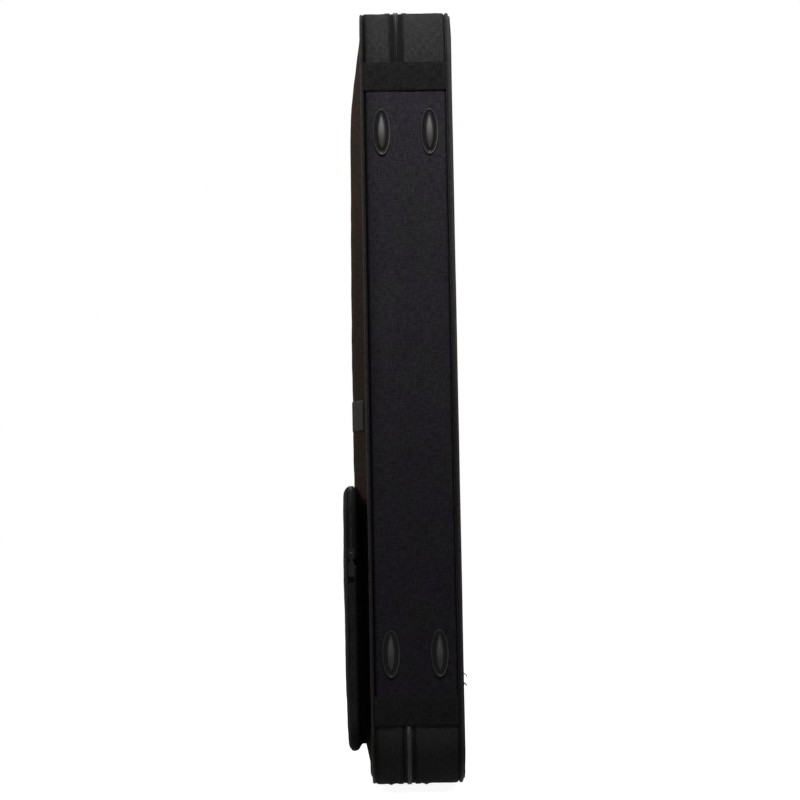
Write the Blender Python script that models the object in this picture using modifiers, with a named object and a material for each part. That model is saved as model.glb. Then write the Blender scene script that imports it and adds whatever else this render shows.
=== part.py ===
"""Zipped foam case for a bass guitar, standing on its bottom end.

Case coordinates: X runs across the case from the handle side to the hinge side, Y from the lid's
front to the carrying straps on the back, and Z up along the case. The zip lies in the plane Y = 0
and the floor in the plane Z = 0. The case_frame empty then shifts everything sideways, so that the
middle of the whole part's box stands on the origin.
"""

import math

import bmesh
import bpy
from mathutils import Matrix, Vector

# Case body, over the fabric
case_length = 1.230
case_width = 0.400
corner_radius = 0.100
lid_depth = 0.053
base_depth = 0.077
arc_steps = 6

# Gaps between touching pieces, running clearance in bores, and how far cutters reach past a wall
touch_gap = 0.0003
bore_clearance = 0.0004
cut_overrun = 0.004

# Layers of the wall, from the outside in
skin_wall = 0.0015
foam_wall = 0.016
plush_wall = 0.003
rim_setback = 0.006
edge_ease = 0.0005

# Piping round both faces
piping_radius = 0.0033
piping_set_in = 0.0010

# Crown of the padded lid: its height, how wide its side shoulders are and how far its ends fade
lid_crown = 0.0215
side_shoulder = 0.070
end_fade = 0.210
shoulder_stop_shares = (0.0, 0.22, 0.48, 0.75, 1.0)
fade_stop_shares = (0.34, 0.67, 1.0)

# Zip round the case, as two halves of tape with a coil
tape_half_width = 0.0087
tape_wall = 0.0010
tape_set_in = 0.0004
tape_edge_gap = 0.0014
coil_edge_gap = 0.0010
coil_width = 0.0026
coil_height = 0.0023

# Webbing bands over the zip's ends, on the hinge side
band_set_down = 0.100
band_height = 0.045
band_wall = 0.0020

# Oval feet with a raised ridge
foot_half_length = 0.0375
foot_half_width = 0.0140
foot_plate_height = 0.0022
foot_rim_width = 0.0024
foot_groove_depth = 0.0008
foot_groove_slope = 0.0006
foot_groove_width = 0.0036
foot_ridge_slope = 0.0008
foot_ridge_step = 0.0030
foot_ridge_shoulder = 0.0024
foot_ridge_rise = 0.0028
foot_arc_steps = 6
side_foot_inset = 0.210
foot_pair_spacing = 0.075
end_foot_spacing = 0.0560
end_foot_lid_place = -0.0290
end_foot_side_place = 0.058

# Label patch on the lid's shoulder, left bare
label_bottom = 0.562
label_height = 0.048
label_width = 0.046
label_side_inset = 0.016
label_wall = 0.0012
label_clearance = 0.0007

# Pocket on the lid's lower half
pocket_bottom = 0.060
pocket_height = 0.416
pocket_width = 0.364
pocket_corner_radius = 0.050
pocket_front_place = 0.0930
pocket_crown = 0.0025
pocket_crown_shoulder = 0.045
pocket_flap_height = 0.115
pocket_zip_set_back = 0.0085
pocket_stop_shares = (0.0, 0.35, 1.0)
pocket_seat_gap = 0.0005

# Zip slider, with its pull's pin across it
slider_length = 0.0160
slider_width = 0.0096
slider_plate = 0.0013
slider_web = 0.0010
slider_play = 0.0004
slider_lug_wall = 0.0012
slider_lug_length = 0.0040
slider_lug_margin = 0.0006
slider_lug_spread = 0.0030
slider_pin_radius = 0.0008
pull_wall = 0.0018
pull_length = 0.036
pull_width = 0.0090
pull_neck = 0.0120
pull_eye_radius = 0.0019
slider_nose_gap = 0.0010
main_slider_travel = 0.080
pocket_slider_start = 0.0110
pocket_slider_travel = 0.034

# Carry handle on the opening side
handle_middle = 0.600
handle_place = 0.043
handle_span = 0.230
handle_arm_run = 0.010
handle_reach = 0.034
handle_bend_radius = 0.014
bail_radius = 0.0040
grip_radius = 0.0115
grip_length = 0.104
anchor_barrel_wall = 0.0030
anchor_length = 0.030
anchor_width = 0.034
anchor_pad_wall = 0.0035
anchor_pad_margin = 0.008

# Carrying straps on the back
strap_anchor_middle = 0.795
strap_anchor_height = 0.044
strap_anchor_width = 0.196
strap_anchor_wall = 0.0090
strap_side_place = 0.060
strap_pad_width = 0.064
strap_pad_length = 0.352
strap_pad_wall = 0.0064
strap_pad_rim = 0.0036
strap_pad_waist = 0.007
strap_webbing_width = 0.025
strap_webbing_wall = 0.0018
strap_webbing_length = 0.190
strap_splay = 0.036
strap_fold_length = 0.030
lock_height = 0.026
lock_width = 0.034
lock_wall = 0.0062
lock_bar = 0.0045
hook_half_width = 0.0110
hook_stem_length = 0.0180
hook_overlap = 0.0140
hook_arm = 0.0060
hook_mouth = 0.0050
hook_jaw = 0.0060
hook_tip_inset = 0.0020
hook_wall = 0.0036
ring_wire_radius = 0.0020
ring_width = 0.030
ring_height = 0.024
ring_corner_radius = 0.007
tab_width = 0.044
tab_height = 0.052
tab_wall = 0.0022
tab_sleeve_wall = 0.0062
tab_sleeve_height = 0.010

# Padding and fittings inside the base
cradle_middle = 0.930
cradle_length = 0.060
cradle_width = 0.112
cradle_height = 0.036
cradle_channel_width = 0.058
cradle_channel_depth = 0.020
cradle_edge = 0.003
neck_strap_wall = 0.0025
neck_strap_width = 0.038
neck_strap_overlap = 0.010
neck_fold_overhang = 0.0006
surround_wall = 0.024
surround_height = 0.044
surround_top = 0.410
surround_fit = 0.0006
box_width = 0.078
box_length = 0.180
box_height = 0.030
box_middle = 0.700
box_wall = 0.0040
box_side_gap = 0.003
box_lid_wall = 0.0032

# What follows from the sizes above
case_lift = (
    foot_plate_height - foot_groove_depth + foot_ridge_step + foot_ridge_rise + touch_gap
)
case_middle = case_lift + case_length / 2
case_top = case_lift + case_length
half_width = case_width / 2
lid_edge = lid_depth + touch_gap + piping_radius
base_edge = base_depth + touch_gap + piping_radius
panel_set_in = piping_set_in + piping_radius + touch_gap
shell_set_in = skin_wall + touch_gap
lining_set_in = shell_set_in + foam_wall + touch_gap
inner_half_width = half_width - lining_set_in - plush_wall
floor_place = base_edge - lining_set_in - plush_wall
skin_back = tape_half_width + touch_gap
band_top = case_top - band_set_down
band_bottom = band_top - band_height
foot_top = case_top - side_foot_inset
foot_bottom = case_lift + side_foot_inset
hinge_place = half_width + touch_gap + band_wall
gusset_middle = (base_depth - lid_depth) / 2
foot_height = case_lift - touch_gap
strap_plane = base_edge + touch_gap
strap_outer = strap_plane + strap_anchor_wall + touch_gap
strap_hinge_height = strap_anchor_middle - strap_anchor_height / 2 - touch_gap
pocket_split = pocket_bottom + pocket_height - pocket_flap_height
pocket_outer = pocket_front_place + touch_gap + skin_wall + pocket_crown
slider_plate_top = coil_height - tape_set_in + slider_play + slider_plate
slider_pin_place = slider_plate_top + touch_gap + pull_eye_radius
slider_lug_top = slider_pin_place + slider_pin_radius + slider_lug_margin
anchor_radius = bail_radius + bore_clearance + anchor_barrel_wall
handle_axis = half_width + touch_gap + anchor_pad_wall + anchor_radius - edge_ease
box_top = floor_place - touch_gap - box_height

# The part's own box, from its outermost pieces, sets how far the case is shifted sideways
hinge_side_reach = half_width + touch_gap + foot_height
handle_side_reach = handle_axis + handle_reach + grip_radius
front_reach = pocket_outer
back_reach = strap_plane + strap_anchor_wall
shift_x = (handle_side_reach - hinge_side_reach) / 2
shift_y = (front_reach - back_reach) / 2


# Scene, collections and finishes
for old in list(bpy.data.objects):
    bpy.data.objects.remove(old, do_unlink=True)

parts = bpy.data.collections.new("bass_guitar_case")
cutters = bpy.data.collections.new("cutters")
bpy.context.scene.collection.children.link(parts)
bpy.context.scene.collection.children.link(cutters)


def finish(name, colour, roughness, metallic=0.0):
    """A Principled material with one colour."""
    material = bpy.data.materials.new(name)
    material.use_nodes = True
    shader = material.node_tree.nodes["Principled BSDF"]
    shader.inputs["Base Color"].default_value = (*colour, 1.0)
    shader.inputs["Roughness"].default_value = roughness
    shader.inputs["Metallic"].default_value = metallic
    return material


nylon = finish("nylon", (0.020, 0.019, 0.021), 0.62)
webbing = finish("webbing", (0.014, 0.014, 0.014), 0.72)
piping_vinyl = finish("piping_vinyl", (0.024, 0.023, 0.022), 0.45)
zip_tape = finish("zip_tape", (0.012, 0.012, 0.012), 0.70)
black_metal = finish("black_metal", (0.020, 0.020, 0.021), 0.35, 1.0)
foot_plastic = finish("foot_plastic", (0.030, 0.030, 0.032), 0.42)
foam_board = finish("foam_board", (0.060, 0.060, 0.062), 0.90)
plush = finish("plush", (0.045, 0.043, 0.046), 0.95)
grip_rubber = finish("grip_rubber", (0.018, 0.018, 0.018), 0.60)
label_weave = finish("label_weave", (0.080, 0.080, 0.082), 0.70)


def pivot(name, place, parent=None):
    """An empty on a joint's axis, with its place in case coordinates."""
    empty = bpy.data.objects.new(name, None)
    empty.empty_display_size = piping_radius
    parts.objects.link(empty)
    if parent:
        empty.parent = parent
        empty.location = Vector(place) - pivot_places[parent.name]
        pivot_places[name] = Vector(place)
    else:
        empty.location = place
        pivot_places[name] = Vector()
    return empty


def place_on(obj, parent, spot=(0.0, 0.0, 0.0), turn=(0.0, 0.0, 0.0)):
    """Parents an object to an empty, at its own place in case coordinates."""
    obj.parent = parent
    obj.location = Vector(spot) - pivot_places[parent.name]
    obj.rotation_euler = turn
    return obj


def add_piece(name, mesh, material, parent, spot=(0.0, 0.0, 0.0), turn=(0.0, 0.0, 0.0)):
    """Makes a named object of the part from a mesh."""
    if not mesh.materials:
        mesh.materials.append(material)
    obj = bpy.data.objects.new(name, mesh)
    parts.objects.link(obj)
    return place_on(obj, parent, spot, turn)


def add_cutter(name, mesh, parent, spot=(0.0, 0.0, 0.0), turn=(0.0, 0.0, 0.0)):
    """Makes a hidden helper for a Boolean."""
    obj = bpy.data.objects.new(name, mesh)
    cutters.objects.link(obj)
    obj.hide_render = True
    obj.display_type = "WIRE"
    return place_on(obj, parent, spot, turn)


def as_mesh(name, bm):
    """Turns a bmesh into a mesh and frees it."""
    mesh = bpy.data.meshes.new(name)
    bm.to_mesh(mesh)
    bm.free()
    return mesh


def solidify(obj, wall, offset=-1.0):
    """Gives an open surface an even wall, behind its faces."""
    modifier = obj.modifiers.new("wall", "SOLIDIFY")
    modifier.thickness = wall
    modifier.offset = offset
    modifier.use_even_offset = True
    return modifier


def bevel(obj, width, segments=1, angle=math.radians(50)):
    """Rounds the sharp edges."""
    modifier = obj.modifiers.new("edges", "BEVEL")
    modifier.width = width
    modifier.segments = segments
    modifier.limit_method = "ANGLE"
    modifier.angle_limit = angle
    return modifier


def boolean(obj, helper, operation):
    """Cuts or joins with a helper, exactly."""
    modifier = obj.modifiers.new(f"{operation.lower()}_{helper.name}", "BOOLEAN")
    modifier.operation = operation
    modifier.solver = "EXACT"
    modifier.object = helper
    return modifier


def baked(obj):
    """The mesh of an object with its modifiers applied, for pieces that share it."""
    bpy.context.view_layer.update()
    graph = bpy.context.evaluated_depsgraph_get()
    mesh = bpy.data.meshes.new_from_object(obj.evaluated_get(graph))
    bpy.data.objects.remove(obj, do_unlink=True)
    return mesh


def box_mesh(name, low, high):
    """A box between two corners."""
    low, high = Vector(low), Vector(high)
    bm = bmesh.new()
    bmesh.ops.create_cube(bm, size=1.0)
    bmesh.ops.scale(bm, vec=high - low, verts=bm.verts)
    bmesh.ops.translate(bm, vec=(low + high) / 2, verts=bm.verts)
    return as_mesh(name, bm)


def rod_mesh(name, radius, length, turn=Matrix(), segments=16):
    """A cylinder along Z about the origin, turned by a matrix."""
    bm = bmesh.new()
    bmesh.ops.create_cone(
        bm,
        cap_ends=True,
        segments=segments,
        radius1=radius,
        radius2=radius,
        depth=length,
        matrix=turn,
    )
    return as_mesh(name, bm)


def prism_mesh(name, outline, along, low, high):
    """A closed outline in the XZ, XY or YZ plane, drawn out along the third axis."""
    spread = {"Y": (0, 2), "Z": (0, 1), "X": (1, 2)}[along]
    rise = {"X": 0, "Y": 1, "Z": 2}[along]
    bm = bmesh.new()
    corners = []
    for first, second in outline:
        spot = [0.0, 0.0, 0.0]
        spot[spread[0]] = first
        spot[spread[1]] = second
        spot[rise] = low
        corners.append(bm.verts.new(spot))
    made = bmesh.ops.extrude_face_region(bm, geom=[bm.faces.new(corners)])
    shift = Vector()
    shift[rise] = high - low
    moved = [item for item in made["geom"] if isinstance(item, bmesh.types.BMVert)]
    bmesh.ops.translate(bm, vec=shift, verts=moved)
    bmesh.ops.recalc_face_normals(bm, faces=bm.faces)
    return as_mesh(name, bm)


def face_towards(bm, direction):
    """Turns every face of an open sheet to the side that a direction names."""
    total = Vector()
    for face in bm.faces:
        total += face.normal * face.calc_area()
    if total.dot(Vector(direction)) < 0:
        bmesh.ops.reverse_faces(bm, faces=bm.faces)


class Outline:
    """A rounded rectangle standing in the XZ plane, with its middle on the Z axis."""

    def __init__(self, width, length, radius, middle):
        self.half_width = width / 2
        self.half_length = length / 2
        self.radius = radius
        self.middle = middle
        self.arc_x = self.half_width - radius
        self.arc_z = self.half_length - radius

    def arc(self, quarter, inset):
        """The points of one corner; quarter 0 is at +X and +Z, and they run anticlockwise."""
        side = (1, -1, -1, 1)[quarter]
        rise = (1, 1, -1, -1)[quarter]
        points = []
        for step in range(arc_steps + 1):
            angle = (quarter + step / arc_steps) * math.pi / 2
            reach = self.radius - inset
            x = side * self.arc_x + reach * math.cos(angle)
            z = self.middle + rise * self.arc_z + reach * math.sin(angle)
            points.append((x, z))
        return points

    def loop(self, inset):
        """All four corners, as a closed line."""
        return [point for quarter in range(4) for point in self.arc(quarter, inset)]

    def upper_rows(self, stops=()):
        """Grid rows above the middle, each with its height and how far round the corner it is."""
        straight = [(stop, 0.0) for stop in sorted(stops)]
        angles = [step / arc_steps * math.pi / 2 for step in range(arc_steps + 1)]
        return straight + [(self.arc_z, angle) for angle in angles]

    def lower_rows(self, stops=()):
        """The same rows below the middle, from the end upwards."""
        return [(-height, angle) for height, angle in reversed(self.upper_rows(stops))]

    def rows(self, stops=()):
        """All rows from the lower end to the upper end."""
        return self.lower_rows(stops) + self.upper_rows(stops)

    def normal(self, x, z):
        """The outward direction of the outline at a point on it."""
        rise = abs(z - self.middle) - self.arc_z
        run = abs(x) - self.arc_x
        if rise > 0 and run > 0:
            outward = Vector((run, 0.0, rise)).normalized()
        elif rise > run:
            outward = Vector((0.0, 0.0, 1.0))
        else:
            outward = Vector((1.0, 0.0, 0.0))
        outward.x = math.copysign(outward.x, x)
        outward.z = math.copysign(outward.z, z - self.middle)
        return outward

    def onto(self, x, z, inset):
        """The point of the outline, set in by a distance, that is nearest to a point."""
        outward = self.normal(x, z)
        if outward.x and outward.z:
            reach = self.radius - inset
            corner_x = math.copysign(self.arc_x, x)
            corner_z = self.middle + math.copysign(self.arc_z, z - self.middle)
            return corner_x + outward.x * reach, corner_z + outward.z * reach
        if outward.z:
            return x, self.middle + outward.z * (self.half_length - inset)
        return outward.x * (self.half_width - inset), z

    def edge_distance(self, x, z):
        """How far a point lies in from the side and from the end of the outline."""
        height = abs(z - self.middle)
        rise = max(height - self.arc_z, 0.0)
        side = self.arc_x + math.sqrt(max(self.radius**2 - rise**2, 0.0))
        return side - abs(x), self.half_length - height


case = Outline(case_width, case_length, corner_radius, case_middle)
pocket = Outline(
    pocket_width,
    pocket_height,
    pocket_corner_radius,
    pocket_bottom + pocket_height / 2,
)


def eased(share):
    """Rises from 0 to 1 as a quarter wave, and stays there."""
    return math.sin(math.pi / 2 * min(max(share, 0.0), 1.0))


def crown_height(x, z):
    """How far the lid's padding stands proud of its edge."""
    side, end = case.edge_distance(x, z)
    side_rise = eased((side - panel_set_in) / side_shoulder) ** 1.5
    return lid_crown * side_rise * eased((end - panel_set_in) / end_fade) ** 2


def pocket_height_at(x, z):
    """How far the pocket's front stands proud of its edge."""
    side, end = pocket.edge_distance(x, z)
    return pocket_crown * eased(min(side, end) / pocket_crown_shoulder)


def grid_sheet(outline, inset, rows, side_stops, face_place, facing):
    """A sheet over a rounded rectangle, one grid row for each height; Y comes from face_place."""
    columns = [(-1, stop) for stop in side_stops] + [(1, stop) for stop in reversed(side_stops)]
    bm = bmesh.new()
    bmesh.ops.create_grid(bm, x_segments=len(columns) - 1, y_segments=len(rows) - 1, size=1.0)
    for vert in bm.verts:
        side, stop = columns[round((vert.co.x + 1) / 2 * (len(columns) - 1))]
        height, angle = rows[round((vert.co.y + 1) / 2 * (len(rows) - 1))]
        reach = outline.radius - inset
        row_width = outline.arc_x + reach * math.cos(angle)
        x = side * row_width * (1 - stop / (outline.half_width - inset))
        z = outline.middle + height + math.copysign(reach * math.sin(angle), height)
        vert.co = (x, face_place(x, z), z)
    bm.normal_update()
    face_towards(bm, (0.0, facing, 0.0))
    bm.normal_update()
    return bm


fade_stops = [
    case.half_length - corner_radius - share * (end_fade - corner_radius)
    for share in fade_stop_shares
]


def lid_sheet(inset=panel_set_in, layer=0.0):
    """The lid's crowned face out to an inset, or the same face one layer further in."""
    shoulder = side_shoulder - inset + panel_set_in
    return grid_sheet(
        case,
        inset,
        case.rows(fade_stops),
        [share * shoulder for share in shoulder_stop_shares],
        lambda x, z: layer - lid_edge - crown_height(x, z),
        -1.0,
    )


def base_sheet(inset=panel_set_in, layer=0.0):
    """The flat back out to an inset, or the same face one layer further in."""
    return grid_sheet(case, inset, case.rows(), (0.0,), lambda x, z: base_edge - layer, 1.0)


def move_in(bm, distance):
    """Shifts a sheet against its normals, keeping an even distance where it bends."""
    bm.normal_update()
    shifts = [vert.normal * vert.calc_shell_factor() * distance for vert in bm.verts]
    for vert, shift in zip(bm.verts, shifts):
        vert.co -= shift


def draw_edge(bm, inset, place):
    """Extrudes the open edge of a sheet onto the case outline at a place in Y."""
    border = [edge for edge in bm.edges if edge.is_boundary]
    made = bmesh.ops.extrude_edge_only(bm, edges=border)
    for item in made["geom"]:
        if isinstance(item, bmesh.types.BMVert):
            x, z = case.onto(item.co.x, item.co.z, inset)
            item.co = (x, place, z)


def cap_open_ends(bm):
    """Closes every open loop with a face and turns all faces outwards."""
    open_edges = [edge for edge in bm.edges if edge.is_boundary]
    bmesh.ops.holes_fill(bm, edges=open_edges, sides=0)
    bmesh.ops.recalc_face_normals(bm, faces=bm.faces)


def skin_solid(name, sheet, facing, depth):
    """Everything under the skin of one half, down to the rim."""
    bm = sheet()
    move_in(bm, shell_set_in)
    draw_edge(bm, shell_set_in, facing * (depth - edge_ease))
    draw_edge(bm, shell_set_in, facing * rim_setback)
    cap_open_ends(bm)
    return as_mesh(name, bm)


def layer_solid(name, sheet, facing, layer, rim):
    """Everything further in than a layer of the wall, down to a rim."""
    bm = sheet(layer, layer)
    draw_edge(bm, layer, facing * rim)
    cap_open_ends(bm)
    return as_mesh(name, bm)


def strip_mesh(name, outline, path, low, high):
    """A wall that stands on a line of the outline, between two places in Y."""
    bm = bmesh.new()
    line = [bm.verts.new((x, low, z)) for x, z in path]
    edges = [bm.edges.new(pair) for pair in zip(line, line[1:])]
    made = bmesh.ops.extrude_edge_only(bm, edges=edges)
    for item in made["geom"]:
        if isinstance(item, bmesh.types.BMVert):
            item.co.y = high
    bm.normal_update()
    first = bm.faces[:][0]
    middle = first.calc_center_median()
    if first.normal.dot(outline.normal(middle.x, middle.z)) < 0:
        bmesh.ops.reverse_faces(bm, faces=bm.faces)
    return as_mesh(name, bm)


def swept_mesh(name, outline, path, section):
    """A closed section of (outward, Y) points carried along a line of the outline."""
    closed_section = list(section) + [section[0]]
    bm = bmesh.new()
    bmesh.ops.create_grid(
        bm, x_segments=len(section), y_segments=len(path) - 1, size=1.0
    )
    for vert in bm.verts:
        outward_by, place = closed_section[round((vert.co.x + 1) / 2 * len(section))]
        x, z = path[round((vert.co.y + 1) / 2 * (len(path) - 1))]
        outward = outline.normal(x, z)
        vert.co = (x + outward.x * outward_by, place, z + outward.z * outward_by)
    bmesh.ops.remove_doubles(bm, verts=bm.verts, dist=touch_gap / 100)
    cap_open_ends(bm)
    return as_mesh(name, bm)


def tube(name, points, radius, material, parent, cyclic=False, sides=2):
    """A round cord or wire along points, as a curve."""
    curve = bpy.data.curves.new(name, "CURVE")
    curve.dimensions = "3D"
    curve.bevel_depth = radius
    curve.bevel_resolution = sides
    curve.use_fill_caps = True
    spline = curve.splines.new("POLY")
    spline.points.add(len(points) - 1)
    for point, spot in zip(spline.points, points):
        point.co = (*spot, 1.0)
    spline.use_cyclic_u = cyclic
    curve.materials.append(material)
    obj = bpy.data.objects.new(name, curve)
    parts.objects.link(obj)
    return place_on(obj, parent)


def tube_mesh(name, points, radius, cyclic=False, sides=2):
    """The same tube as a closed mesh, for pieces that a Boolean joins."""
    curve_object = tube(name, points, radius, black_metal, case_frame, cyclic, sides)
    curve_object.parent = None
    curve_object.location = (0.0, 0.0, 0.0)
    mesh = baked(curve_object)
    bm = bmesh.new()
    bm.from_mesh(mesh)
    bmesh.ops.remove_doubles(bm, verts=bm.verts, dist=touch_gap / 100)
    bmesh.ops.recalc_face_normals(bm, faces=bm.faces)
    bm.to_mesh(mesh)
    bm.free()
    mesh.materials.clear()
    return mesh


def rounded_path(corners, radius, steps=4):
    """A line through corner points, with each inner corner turned into a short curve."""
    points = [Vector(corners[0])]
    for before, corner, after in zip(corners, corners[1:], corners[2:]):
        corner = Vector(corner)
        start = corner + (Vector(before) - corner).normalized() * radius
        end = corner + (Vector(after) - corner).normalized() * radius
        for step in range(steps + 1):
            share = step / steps
            first = start.lerp(corner, share)
            second = corner.lerp(end, share)
            points.append(first.lerp(second, share))
    points.append(Vector(corners[-1]))
    return points


# Pivots on the joint axes
pivot_places = {}
case_frame = pivot("case_frame", (shift_x, shift_y, 0.0))
lid_pivot = pivot("lid_pivot", (hinge_place, 0.0, case_middle), case_frame)
flap_pivot = pivot("pocket_flap_pivot", (0.0, -pocket_outer, pocket_split), lid_pivot)


# Foam shells, linings and covers
def add_shell_half(half, sheet, facing, depth, parent):
    """Foam shell and plush lining of one half, each hollowed by the layer inside it."""
    foam_back = shell_set_in + foam_wall
    shell = add_piece(
        f"{half}_shell",
        skin_solid(f"{half}_shell", sheet, facing, depth),
        foam_board,
        parent,
    )
    lining = add_piece(
        f"{half}_lining",
        layer_solid(f"{half}_lining", sheet, facing, lining_set_in, rim_setback),
        plush,
        parent,
    )
    for piece, layer in ((shell, foam_back), (lining, lining_set_in + plush_wall)):
        hollow = add_cutter(
            f"{piece.name}_hollow",
            layer_solid("hollow", sheet, facing, layer, rim_setback - cut_overrun),
            parent,
        )
        boolean(piece, hollow, "DIFFERENCE")


add_shell_half("base", base_sheet, 1.0, base_depth, case_frame)
add_shell_half("lid", lid_sheet, -1.0, lid_depth, lid_pivot)

back_cover = add_piece("back_cover", as_mesh("back_cover", base_sheet()), nylon, case_frame)
solidify(back_cover, skin_wall)
front_cover = add_piece("front_cover", as_mesh("front_cover", lid_sheet()), nylon, lid_pivot)
solidify(front_cover, skin_wall)


# Side walls: a gusset from band to band round the ends and the handle side, and a hinge panel
seam_under_band_top = (band_top + band_bottom) / 2
seam_under_band_bottom = 2 * case_middle - seam_under_band_top


def round_the_case(start, end, inset=0.0):
    """The line from the hinge side's top, over the top, down the handle side and back."""
    side = half_width - inset
    return [(side, start)] + case.loop(inset) + [(side, end)]


def add_walls(half, facing, depth, parent):
    """Gusset and hinge panel of one half."""
    path = round_the_case(
        seam_under_band_top + touch_gap / 2, seam_under_band_bottom - touch_gap / 2
    )
    gusset = add_piece(
        f"{half}_gusset",
        strip_mesh(f"{half}_gusset", case, path, facing * skin_back, facing * depth),
        nylon,
        parent,
    )
    solidify(gusset, skin_wall)
    panel = add_piece(
        f"{half}_hinge_panel",
        strip_mesh(
            f"{half}_hinge_panel",
            case,
            [
                (half_width, seam_under_band_bottom + touch_gap / 2),
                (half_width, seam_under_band_top - touch_gap / 2),
            ],
            facing * touch_gap,
            facing * depth,
        ),
        nylon,
        parent,
    )
    solidify(panel, skin_wall)


add_walls("base", 1.0, base_depth, case_frame)
add_walls("lid", -1.0, lid_depth, lid_pivot)

for half, place, parent in (
    ("base", base_edge, case_frame),
    ("lid", -lid_edge, lid_pivot),
):
    tube(
        f"{half}_piping",
        [(x, place, z) for x, z in case.loop(piping_set_in)],
        piping_radius,
        piping_vinyl,
        parent,
        cyclic=True,
    )


# Zip halves, ending at the bands
def zip_section(plane, facing, reach):
    """Tape from a zip's plane out to its reach, with a raised coil, as (outward, Y) points."""
    face = -tape_set_in
    back = face - tape_wall
    top = face + coil_height
    outer_edge = coil_edge_gap + coil_width
    points = (
        (back, tape_edge_gap),
        (face, tape_edge_gap),
        (face, coil_edge_gap),
        (top, coil_edge_gap),
        (top, outer_edge),
        (face, outer_edge),
        (face, reach),
        (back, reach),
    )
    return [(outward, plane + facing * across) for outward, across in points]


zip_path = round_the_case(band_top + touch_gap, 2 * case_middle - band_top - touch_gap)
for half, facing, parent in (("base", 1.0, case_frame), ("lid", -1.0, lid_pivot)):
    add_piece(
        f"{half}_zip_half",
        swept_mesh(
            f"{half}_zip_half", case, zip_path, zip_section(0.0, facing, tape_half_width)
        ),
        zip_tape,
        parent,
    )

# Webbing bands over the zip's ends, in a lid half and a base half
for end, low in (("top", band_bottom), ("bottom", 2 * case_middle - band_top)):
    for half, start, stop, parent in (
        ("base", touch_gap, base_depth, case_frame),
        ("lid", -lid_depth, -touch_gap, lid_pivot),
    ):
        add_piece(
            f"{end}_band_{half}",
            box_mesh(
                f"{end}_band_{half}",
                (half_width + touch_gap, start, low),
                (hinge_place, stop, low + band_height),
            ),
            webbing,
            parent,
        )


# Feet
def foot_mesh():
    """A lens-shaped plate with a rim, a groove and a ridge with a flat top."""
    bow = (foot_half_length**2 + foot_half_width**2) / (2 * foot_half_width)
    spread = math.asin(foot_half_length / bow)
    bm = bmesh.new()
    corners = []
    for side in (1, -1):
        for step in range(foot_arc_steps):
            angle = side * spread * (1 - 2 * step / foot_arc_steps)
            x = bow * math.sin(angle)
            y = side * (bow * math.cos(angle) - (bow - foot_half_width))
            corners.append(bm.verts.new((x, y, 0.0)))
    base = bm.faces.new(corners)
    made = bmesh.ops.extrude_face_region(bm, geom=[base])
    top = [item for item in made["geom"] if isinstance(item, bmesh.types.BMFace)]
    moved = [item for item in made["geom"] if isinstance(item, bmesh.types.BMVert)]
    bmesh.ops.translate(bm, vec=(0.0, 0.0, foot_plate_height), verts=moved)
    bmesh.ops.recalc_face_normals(bm, faces=bm.faces)
    for width, rise in (
        (foot_rim_width, 0.0),
        (foot_groove_slope, -foot_groove_depth),
        (foot_groove_width, 0.0),
        (foot_ridge_slope, foot_ridge_step),
        (foot_ridge_shoulder, foot_ridge_rise),
    ):
        bmesh.ops.inset_region(
            bm, faces=top, thickness=width, depth=rise, use_even_offset=True
        )
    return as_mesh("foot", bm)


foot = foot_mesh()
outward_x = (0.0, math.radians(90), 0.0)
downward = (math.radians(180), 0.0, 0.0)
foot_rows = (
    ("lid", gusset_middle - foot_pair_spacing / 2, lid_pivot),
    ("base", gusset_middle + foot_pair_spacing / 2, case_frame),
)
for end, height in (("top", foot_top), ("bottom", foot_bottom)):
    for half, place, parent in foot_rows:
        add_piece(
            f"side_foot_{end}_{half}",
            foot,
            foot_plastic,
            parent,
            (half_width + touch_gap, place, height),
            outward_x,
        )
for half, place, parent in (
    ("lid", end_foot_lid_place, lid_pivot),
    ("base", end_foot_lid_place + end_foot_spacing, case_frame),
):
    for side_name, side in (("left", -1), ("right", 1)):
        add_piece(
            f"end_foot_{side_name}_{half}",
            foot,
            foot_plastic,
            parent,
            (side * end_foot_side_place, place, case_lift - touch_gap),
            downward,
        )


# Label patch: a small sheet that follows the lid's shoulder
def label_mesh():
    """A bent grid over the shoulder, a little clear of the lid."""
    bm = bmesh.new()
    bmesh.ops.create_grid(bm, x_segments=4, y_segments=1, size=1.0)
    right = half_width - panel_set_in - label_side_inset
    for vert in bm.verts:
        x = right - label_width * (1 - vert.co.x) / 2
        z = label_bottom + label_height * (vert.co.y + 1) / 2
        vert.co = (x, -lid_edge - crown_height(x, z) - label_clearance - label_wall, z)
    bm.normal_update()
    face_towards(bm, (0.0, -1.0, 0.0))
    return as_mesh("label_patch", bm)


label_patch = add_piece("label_patch", label_mesh(), label_weave, lid_pivot)
solidify(label_patch, label_wall)


# Pocket on the lid, in a fixed lower part and a flap that folds down along the zip's ends
pocket_half_width = pocket_width / 2
pocket_zip_place = pocket_front_place - pocket_zip_set_back
split_above_middle = pocket_split - pocket.middle
lower_line = (
    [(pocket_half_width, pocket_split - touch_gap / 2)]
    + pocket.arc(3, 0.0)[::-1]
    + pocket.arc(2, 0.0)[::-1]
    + [(-pocket_half_width, pocket_split - touch_gap / 2)]
)
upper_line = (
    [(pocket_half_width, pocket_split + touch_gap / 2)]
    + pocket.arc(0, 0.0)
    + pocket.arc(1, 0.0)
    + [(-pocket_half_width, pocket_split + touch_gap / 2)]
)


def lid_face_mesh():
    """The lid's outer face, a little proud of it."""
    bm = lid_sheet()
    move_in(bm, -pocket_seat_gap)
    return as_mesh("lid_face", bm)


lid_face = add_cutter("lid_face_cutter", lid_face_mesh(), lid_pivot)
solidify(lid_face, lid_crown + cut_overrun)


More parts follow.
